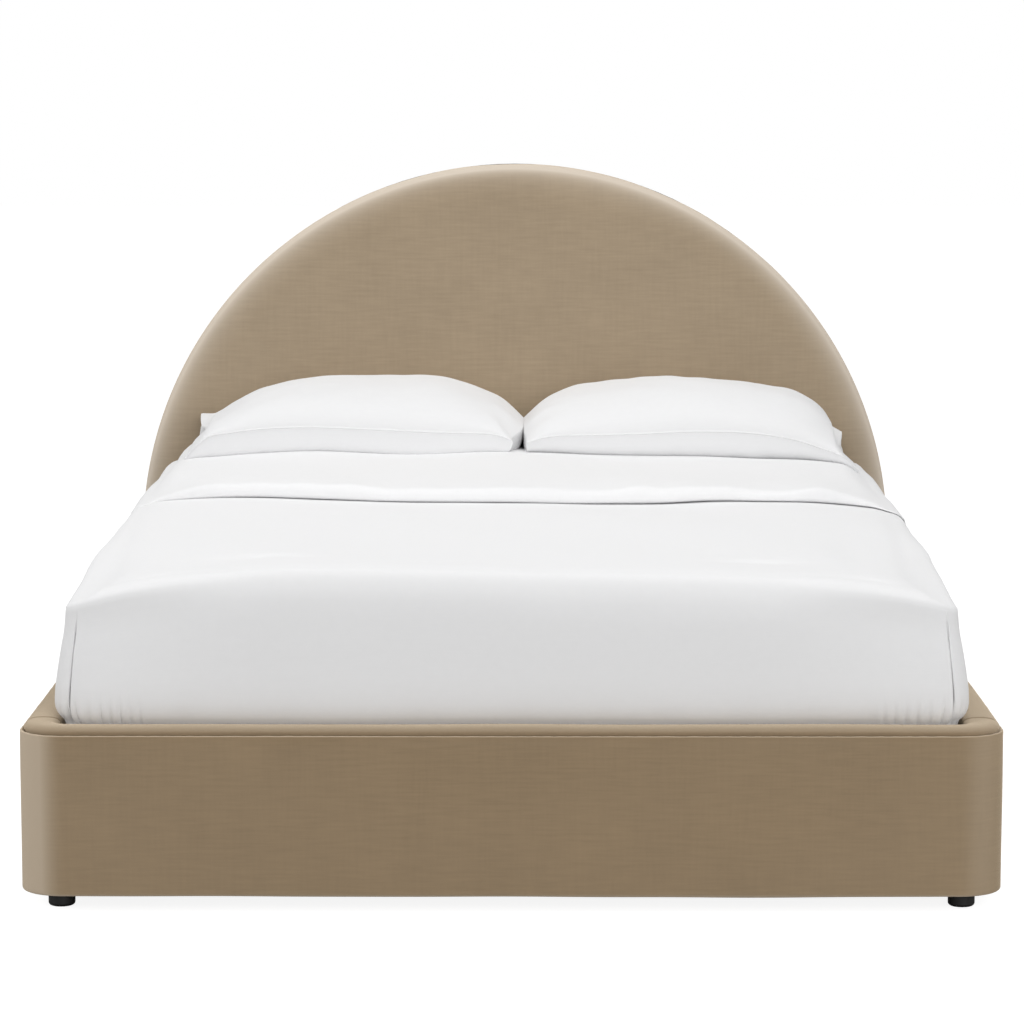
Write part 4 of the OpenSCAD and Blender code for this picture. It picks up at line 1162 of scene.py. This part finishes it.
# %% Duvet: folds and gathers
mitre_share = 0.60
mitre_run = duvet_r * math.pi / 2 * mitre_share
mitres = [(duvet_path.at[1] + mitre_run, -1), (duvet_path.at[4] - mitre_run, 1)]
near_mitre = [(mitres[0][0], 0.12, 0.0032), (mitres[0][0], 0.016, 0.0008)]
duvet_s = spaced(duvet_path.length, 0.0155, near_mitre)
duvet_rows = 120
pleat, pleat_deep = 0.017, 0.0055
edge_stands, crease_deep, slit_deep = 0.0028, 0.0030, 0.0180


def top_hollows(x, y):
    """The filling's soft waves over the top of the bed."""
    return 0.0020 * unevenness(x, y, 0.34, 51) + 0.0006 * unevenness(x, y, 0.12, 52)


def hollows(x, y, z, run):
    """The filling's broad unevenness: soft waves over the top, fainter ones on the sides."""
    height = duvet_height(z)
    on_side = ease((1.0 - height) / 0.25)
    return top_hollows(x, y) * (1 - on_side) + 0.0010 * on_side * unevenness(run, z, 0.30, 53)


def duvet_surface(s):
    """The outer skin: the smooth form pushed along its normals by the hollows, the crease of
    each mitre and the gathers along the rail. A mitre's slit runs straight in along the bed.
    The middle line moves straight up or down."""
    grid = smooth_through(duvet_net(s), duvet_rows).transpose(1, 0, 2)
    outward = looking_up(grid, duvet_rows // 2)
    x, y, z = grid[..., 0], grid[..., 1], grid[..., 2]
    run = np.broadcast_to(s[:, None], z.shape)
    height = duvet_height(z)
    on_side = ease((1.02 - height) / 0.12) * ease((height + 0.12) / 0.10)
    push = hollows(x, y, z, run)
    slit = 0 * z
    for at, sideways in mitres:
        away = (run - at) * sideways
        panel_edge = edge_stands * bell(away / 0.022) * (1 - ease((away + 0.0010) / 0.0016))
        on_fold = on_side * ease((0.84 - height) / 0.40)
        crease = crease_deep * bell(away / 0.0100) * ease((away + 0.0006) / 0.0014)
        push = push + (panel_edge - crease) * on_fold
        opened = 0.88 + 0.35 * unevenness(z, 0 * z, 0.05, 55)
        slit = slit + slit_deep * opened * bell((away - 0.0016) / 0.0019) * on_fold
    from_corner = np.minimum(*[np.abs(run - at) for at, _ in mitres])
    strength = 0.20 + 0.80 * bell(from_corner / 0.12)
    wander = 0.9 * unevenness(run, 0 * run, 0.16, 54)
    gathered = np.abs(np.sin(run * math.pi / pleat + wander)) ** 0.6 - 0.7
    push = push + pleat_deep * gathered * strength * bell((height - 0.06) / 0.09) * on_side
    push = push * (1 - ease((rail_top_z - 0.002 - z) / 0.010))
    settle = ease(np.arange(grid.shape[1])[None, ::-1] / 6)[..., None]
    outward = outward * settle + np.array([0, 0, 1]) * (1 - settle)
    moved = grid + outward * push[..., None]
    moved[..., 1] += slit
    moved[:, -1, 0] = 0
    return moved


def duvet_lining(s):
    """The inner skin: up the mattress's side and flat over its top."""
    base, facing = duvet_path(s)
    edge = base + facing * duvet_r
    side_rows = 24
    top_rows = duvet_rows - side_rows
    z_side = np.linspace(hem_z, duvet_under_z - 0.004, side_rows)
    z = np.concatenate([z_side, np.full(top_rows, duvet_under_z)])
    shares = np.concatenate([np.ones(side_rows), np.linspace(0.995, 0, top_rows)])
    return raised(to_middle(edge, np.maximum(base[:, 1], duvet_spine_y), shares), z)


duvet_outer = duvet_surface(duvet_s)
points, faces = shell(duvet_outer, duvet_lining(duvet_s), meets=True)
duvet_uv = cloth_map(duvet_s, np.linspace(0, 1.2, duvet_rows))
piece = make_piece("duvet_body", points, faces, cotton, duvet_uv)
place(piece, "duvet", "cotton", "duvet")

# %% [markdown]
# The turned-down band is the duvet's own head end folded back: a second thickness that ends in
# a fat rolled edge. Across the bed it follows the duvet; along the bed it has a profile that
# starts underneath the roll, comes round it and runs flat to the headboard.

# %% Turned-down band
band_thick = 0.026
band_edge_y = mattress_low.y + 1.055
band_columns = 190
roll_deep = 0.020


def across_bed(y):
    """The duvet's section across the bed at each y, from the left rail over to the right one,
    as a grid (places along the bed, places across, 3), with its outward normals."""
    right_s = duvet_path.at[4] + (y - duvet_cy)
    left_s = duvet_path.at[1] - (y - duvet_cy)
    left, right = duvet_net(left_s)[3:], duvet_net(right_s)[3:][::-1]
    grid = smooth_through(np.concatenate([left, right[1:]]), band_columns).transpose(1, 0, 2)
    outward = looking_up(grid, band_columns // 2)
    run = np.where(grid[..., 0] < 0, left_s[:, None], right_s[:, None])
    return grid, outward, hollows(grid[..., 0], grid[..., 1], grid[..., 2], run)


def band_depth(x, y):
    """The band's thickness away from its front edge: uneven, and thinner over the shoulder."""
    over_shoulder = ease((np.abs(x) - 0.69) / 0.06)
    return band_thick * (1 - 0.85 * over_shoulder) * (1 + 0.10 * unevenness(x, y, 0.24, 63))


# Each row of the band: how far behind its front edge it is, and its share of the thickness
roll_under = bend((0.5, 0.5), 0.5, 270, 180, 8) * [1.4 * roll_deep, 0.56]
lip_angle = np.radians(np.linspace(0, 90, 22))[1:]
lip = np.stack([roll_deep * (1 - np.cos(lip_angle)), 0.28 + 0.72 * np.sin(lip_angle) ** 0.85], -1)
band_end = duvet_head_y - band_edge_y - 0.004
flat_back = np.linspace(roll_deep + 0.02, band_end, 66)
back_edge = [(band_end + 0.003, 0.6), (band_end + 0.003, 0.1)]
band_rows = np.concatenate([roll_under, lip, np.stack([flat_back, np.ones(66)], -1), back_edge])


def band_skins():
    """Outer skin and underside of the band. Thickness is full on top, thins over the shoulder
    and is nearly nothing at the rail; the front edge wavers a little across the bed."""
    grid, outward, push = across_bed(band_edge_y + band_rows[:, 0])
    x, z = grid[..., 0], grid[..., 2]
    height = duvet_height(z)
    to_back = 1 - band_rows[:, :1] / band_rows[-1, 0]
    bowed = np.where(x < 0, 0.17, 0.06) * np.minimum(np.abs(x) / 0.65, 1.1) ** 2 - 0.09
    sweep = (0.07 * ease((1.0 - height) / 0.20) + bowed) * to_back
    behind = np.broadcast_to(band_rows[:, :1], x.shape)
    thinned = 0.60 * ease((np.abs(x) - 0.60) / 0.12) * (1 - ease((behind - 0.03) / 0.25))
    full = band_depth(x, grid[..., 1]) * (1 - thinned) * ease((height - 0.80) / 0.15) + 0.0014
    near_edge = 1 - ease(behind / 0.25)
    waver = (0.010 * unevenness(x, 0 * x, 0.34, 61) + 0.003 * unevenness(x, 0 * x, 0.09, 62)) * near_edge
    puff = 1 + 0.05 * unevenness(x, grid[..., 1], 0.07, 64) * near_edge
    lift = 0.0008 + full * band_rows[:, 1:] * puff
    outer = grid + outward * (push + lift)[..., None]
    outer[..., 1] += waver + sweep
    under = grid + outward * (push + 0.0006)[..., None]
    under[..., 1] = np.maximum(under[..., 1], band_edge_y + 0.010) + waver + sweep
    return outer, under


band_outer, band_under = band_skins()
points, faces = shell(band_outer, band_under)
band_uv = cloth_map(lengths(band_outer[:, band_columns // 2]), lengths(band_outer[40]))
piece = make_piece("duvet_turned_band", points, faces, cotton, band_uv)
place(piece, "duvet", "cotton")

# %% [markdown]
# A pillow in its case: rings round the pillow's width, each a soft lens with a seam at front
# and back. The case is sewn shut towards the middle of the bed and open at the outer end, where
# it runs on past the filling as a flat flap. The pillow lies on the turned-down band and sinks
# into it by a few millimetres, as soft things do.

# %% Pillow measures
pillow_depth = case_high.y - case_low.y
pillow_y = (case_high.y + case_low.y) / 2
draw_in = 0.024
full_height = 0.100
ring_count = 176

# sign is the side of the bed, and inner_x is where the sewn end lies, measured outwards. wide is
# the filled width and flap the empty end of the case; mouth is how far the flap gapes at the
# back, and notch how far its upper layer is drawn back there. blunt is the power of the
# underside's curve, recess how far the front of the sewn end is drawn outwards, sink how deep the
# pillow presses into the band, and belly the share of the width over which its underside fills.
# By share of the filled width: the crown's height over the bed, and the side seam's height at
# the front edge, in the middle and at the back edge. Shares above 1 are the flap.
pillow_forms = {
    "left": {
        "sign": -1, "inner_x": -0.0202, "wide": 0.671, "flap": 0.048, "mouth": 0.012, "notch": 0.030,
        "blunt": 8.0, "recess": 0.022, "sink": 0.0036, "belly": 0.030,
        "crown": [
            (0, 0.052), (0.04, 0.077), (0.08, 0.099), (0.13, 0.114), (0.2, 0.131), (0.28, 0.145),
            (0.4, 0.150), (0.55, 0.149), (0.7, 0.141), (0.8, 0.129), (0.87, 0.116), (0.93, 0.096),
            (0.97, 0.081), (1, 0.070), (1.03, 0.052), (1.072, 0.038),
        ],
        "front": [
            (0, 0.026), (0.06, 0.036), (0.2, 0.046), (0.35, 0.053), (0.6, 0.055), (0.83, 0.055),
            (0.94, 0.051), (1, 0.046), (1.035, 0.030), (1.072, 0.006),
        ],
        "middle": [(0, 0.044), (0.08, 0.050), (0.5, 0.050), (0.93, 0.042), (1, 0.040), (1.072, 0.022)],
        "back": [(0, 0.030), (0.1, 0.046), (0.5, 0.050), (0.93, 0.042), (1, 0.048), (1.072, 0.044)],
    },
    "right": {
        "sign": 1, "inner_x": 0.0186, "wide": 0.662, "flap": 0.049, "mouth": 0.017, "notch": 0.048,
        "blunt": 5.0, "recess": 0.003, "sink": 0.0042, "belly": 0.005,
        "crown": [
            (0, 0.052), (0.045, 0.083), (0.083, 0.104), (0.125, 0.120), (0.2, 0.135), (0.28, 0.143),
            (0.4, 0.153), (0.55, 0.159), (0.7, 0.158), (0.8, 0.152), (0.87, 0.146), (0.93, 0.132),
            (0.97, 0.114), (1, 0.092), (1.018, 0.060), (1.036, 0.038), (1.072, 0.024),
        ],
        "front": [
            (0, 0.024), (0.06, 0.036), (0.2, 0.046), (0.35, 0.052), (0.6, 0.058), (0.75, 0.056),
            (0.88, 0.044), (0.96, 0.031), (1, 0.025), (1.072, 0.012),
        ],
        "middle": [(0, 0.044), (0.08, 0.050), (0.5, 0.056), (0.93, 0.056), (1, 0.046), (1.072, 0.006)],
        "back": [(0, 0.030), (0.1, 0.046), (0.5, 0.056), (0.93, 0.058), (1, 0.052), (1.072, 0.034)],
    },
}


# %% [markdown]
# Each ring is a closed curve round the pillow, so one formula serves the plump middle, the
# seams at front and back and the flat flap. The tables above say how high each part lies.

# %% Pillow surface


def along(points, u):
    """A smooth line through a few (share, height) points."""
    fine = smooth_through(points, 400)
    return np.interp(u, fine[:, 0], fine[:, 1])


def bed_top(x, y):
    """What the pillows lie on: the duvet's top and the band on it, with their unevenness."""
    return duvet_top(x, y, False) + top_hollows(x, y) + band_depth(x, y) + 0.0022


def pillow_skin(form, u, layer, seed, wrinkle=1.0, ridge=0.0):
    """Rings round the pillow at shares u of its width, layer below the surface. A ring is a
    superellipse in polar form, one over the n-th root of |cos|^n + |sin|^n: n is 2 above the
    seam, and larger below it, where the pillow's own weight makes it blunt."""
    u = u[:, None]
    turn = np.linspace(0, 2 * math.pi, ring_count, endpoint=False)[None, :]
    a = turn - 0.36 * np.sin(2 * turn)
    side, rise = np.cos(a), np.sin(a)
    n = np.where(rise >= 0, 2.0, form["blunt"])
    radius = (np.abs(side) ** n + np.abs(rise) ** n) ** (-1 / n)
    middle = along(form["middle"], u)
    up = along(form["crown"], u) - middle
    full = np.clip(up / full_height, 0, 1)
    across = radius * side
    y = pillow_y + (pillow_depth / 2 - draw_in * full - layer) * across
    front, back = ease((-across - 0.45) / 0.55), ease((across - 0.35) / 0.55)
    flap = np.clip((u - 1) / (form["flap"] / form["wide"]), 0, 1)
    sewn_end = form["recess"] * bell((across + 0.92) / 0.20) + 0.004 * (front + back)
    x = form["inner_x"] + form["wide"] * u + sewn_end * np.clip(1 - u / 0.14, 0, 1) ** 2
    x = x - form["notch"] * flap * bell((across + 0.15) / 0.55) * (rise > 0)
    top = bed_top(x * form["sign"], y) - form["sink"]
    lift = middle * (1 - front - back)
    lift = lift + along(form["front"], u) * front + along(form["back"], u) * back
    gape = form["mouth"] * flap * back * np.abs(rise) ** 0.4
    nose, belly = (np.sqrt(1 - (1 - np.minimum(u / run, 1)) ** 2) for run in (0.0012, form["belly"]))
    over = np.maximum(up - layer, 0.0018 - layer) * radius * np.abs(rise) * nose + gape
    under = 1.15 * lift * radius * np.abs(rise) * (1 - ease(flap * 1.6) * back) * belly + gape
    wander = 4 * unevenness(u * 0.7, a * 0.2, 0.3, seed)
    folds = 0.0026 * np.sin(a * 11 + wander) * bell((u - 0.05) / 0.06)
    folds = folds + 0.0016 * np.sin(a * 8 + 2) * bell((u - 0.96) / 0.06)
    broad = 0.0018 * unevenness(x, y * 1.4, 0.24, seed + 1)
    small = 0.0008 * unevenness(x, y, 0.06, seed + 2)
    push = (folds + broad + small) * wrinkle * np.abs(rise) ** 0.7 * np.clip(full * 2.5, 0, 1)
    y = y - ridge * bell((a - math.pi) * pillow_depth / 2 / 0.0032) * np.clip(full * 4, 0.25, 1)
    z = top + lift + np.where(rise > 0, over + push, -under - push)
    return np.stack([x, y, np.maximum(z, top + 0.0012 + layer)], -1)


# %% Pillowcases and the pillows inside
case_thick = 0.0016

for side, seed in (("right", 71), ("left", 81)):
    form = pillow_forms[side]
    flip = [form["sign"], 1, 1]
    near = np.geomspace(0.0008, 0.03, 8)
    flap_shares = np.linspace(1, 1 + form["flap"] / form["wide"], 15)
    case_share = np.unique(np.concatenate([np.linspace(0, 1, 130), near, 1 - near, flap_shares]))
    outer = pillow_skin(form, case_share, 0.0, seed, ridge=0.0030).transpose(1, 0, 2) * flip
    inner = pillow_skin(form, np.maximum(case_share, 0.004), case_thick, seed).transpose(1, 0, 2) * flip
    points, faces = shell(outer, inner, ring=True)
    case_uv = cloth_map(np.linspace(0, 1.05, ring_count), form["wide"] * case_share)[..., ::-1]
    piece = make_piece(f"pillowcase_cloth_{side}", points, faces, case_cotton, case_uv)
    place(piece, f"pillow_{side}", "cotton", f"pillowcase_{side}")

    insert = pillow_skin(form, np.linspace(0.012, 0.985, 60), case_thick + 0.0012, seed, 0.9)
    middles = insert[[0, -1]].mean(axis=1)[:, None, :].repeat(ring_count, axis=1)
    insert = np.concatenate([middles[:1], insert, middles[1:]]).transpose(1, 0, 2) * flip
    insert_uv = cloth_map(np.linspace(0, 1, ring_count), np.linspace(0, 0.7, insert.shape[1]))
    piece = make_piece(f"pillow_filling_{side}", *tube(insert), ticking, insert_uv)
    place(piece, f"pillow_{side}", "pillow_filling", f"pillow_{side}")

# %% [markdown]
# The studio: a pale floor and a white surround, both only there for the eye. The floor adds a
# light of its own in the camera's view alone, so it looks white and yet takes soft shadows.

# %% Floor and surround
reach = 30.0
floor_mesh = bpy.data.meshes.new("floor")
floor_corners = [(-reach, -reach, 0), (reach, -reach, 0), (reach, reach, 0), (-reach, reach, 0)]
floor_mesh.from_pydata(floor_corners, [], [(0, 1, 2, 3)])
floor = add_object("floor", floor_mesh)

floor_paint = bpy.data.materials.new("floor_paint")
floor_paint.use_nodes = True
tree = floor_paint.node_tree
tree.nodes.clear()
seen = add_node(tree, "LightPath").outputs["Is Camera Ray"]
matt = add_node(tree, "BsdfDiffuse", {"Color": (0.40, 0.40, 0.40, 1)})
white = add_node(tree, "Emission", {"Color": (1, 1, 1, 1), "Strength": times(tree, seen, 0.88)})
both = add_node(tree, "AddShader", {0: matt.outputs[0], 1: white.outputs[0]})
add_node(tree, "OutputMaterial", {"Surface": both.outputs[0]})
floor_mesh.materials.append(floor_paint)

world = bpy.data.worlds.new("surround")
bpy.context.scene.world = world
world.use_nodes = True
tree = world.node_tree
tree.nodes.clear()
path_kind = add_node(tree, "LightPath").outputs
to_eye = math_node(tree, "MAXIMUM", path_kind["Is Camera Ray"], path_kind["Is Glossy Ray"])
ambient = add_node(tree, "Background", {"Color": (1, 1, 1, 1), "Strength": 0.45})
backdrop = add_node(tree, "Background", {"Color": (1, 1, 1, 1), "Strength": 1.0})
mix = add_node(tree, "MixShader", {0: to_eye, 1: ambient.outputs[0], 2: backdrop.outputs[0]})
add_node(tree, "OutputWorld", {"Surface": mix.outputs[0]})

# %% [markdown]
# The lamps are large and soft, as in a daylight studio: one overhead for the tops, one on each
# side, a low one that grazes the rim on the left, and a fill beside the camera. They are set so
# that white cotton is a light grey seen from the front and almost white on top.

# %% Lamps


def soft_lamp(name, place_at, aim, size, power):
    """A square area lamp turned towards a point: its -Z axis lies along the line to the aim."""
    data = bpy.data.lights.new(name, "AREA")
    data.shape, data.size, data.energy = "SQUARE", size, power
    lamp = add_object(name, data)
    lamp.location = place_at
    lamp.rotation_euler = (Vector(aim) - lamp.location).to_track_quat("-Z", "Y").to_euler()
    print(name, power, "W")


soft_lamp("overhead", (0.0, 0.0, 4.2), (0.0, 0.0, 0.4), 4.0, 72)
soft_lamp("left_side", (-5.0, -2.6, 2.4), (0.0, 0.0, 0.5), 3.0, 68)
soft_lamp("left_rim", (-4.2, 0.6, 1.6), (0.0, 0.0, 0.5), 2.0, 18)
soft_lamp("right_side", (5.0, -3.0, 2.4), (0.0, 0.0, 0.5), 3.0, 42)
soft_lamp("front_fill", (2.6, -8.5, 2.8), (0.0, 0.0, 0.6), 4.0, 218)
bpy.context.scene.view_settings.view_transform = "Standard"
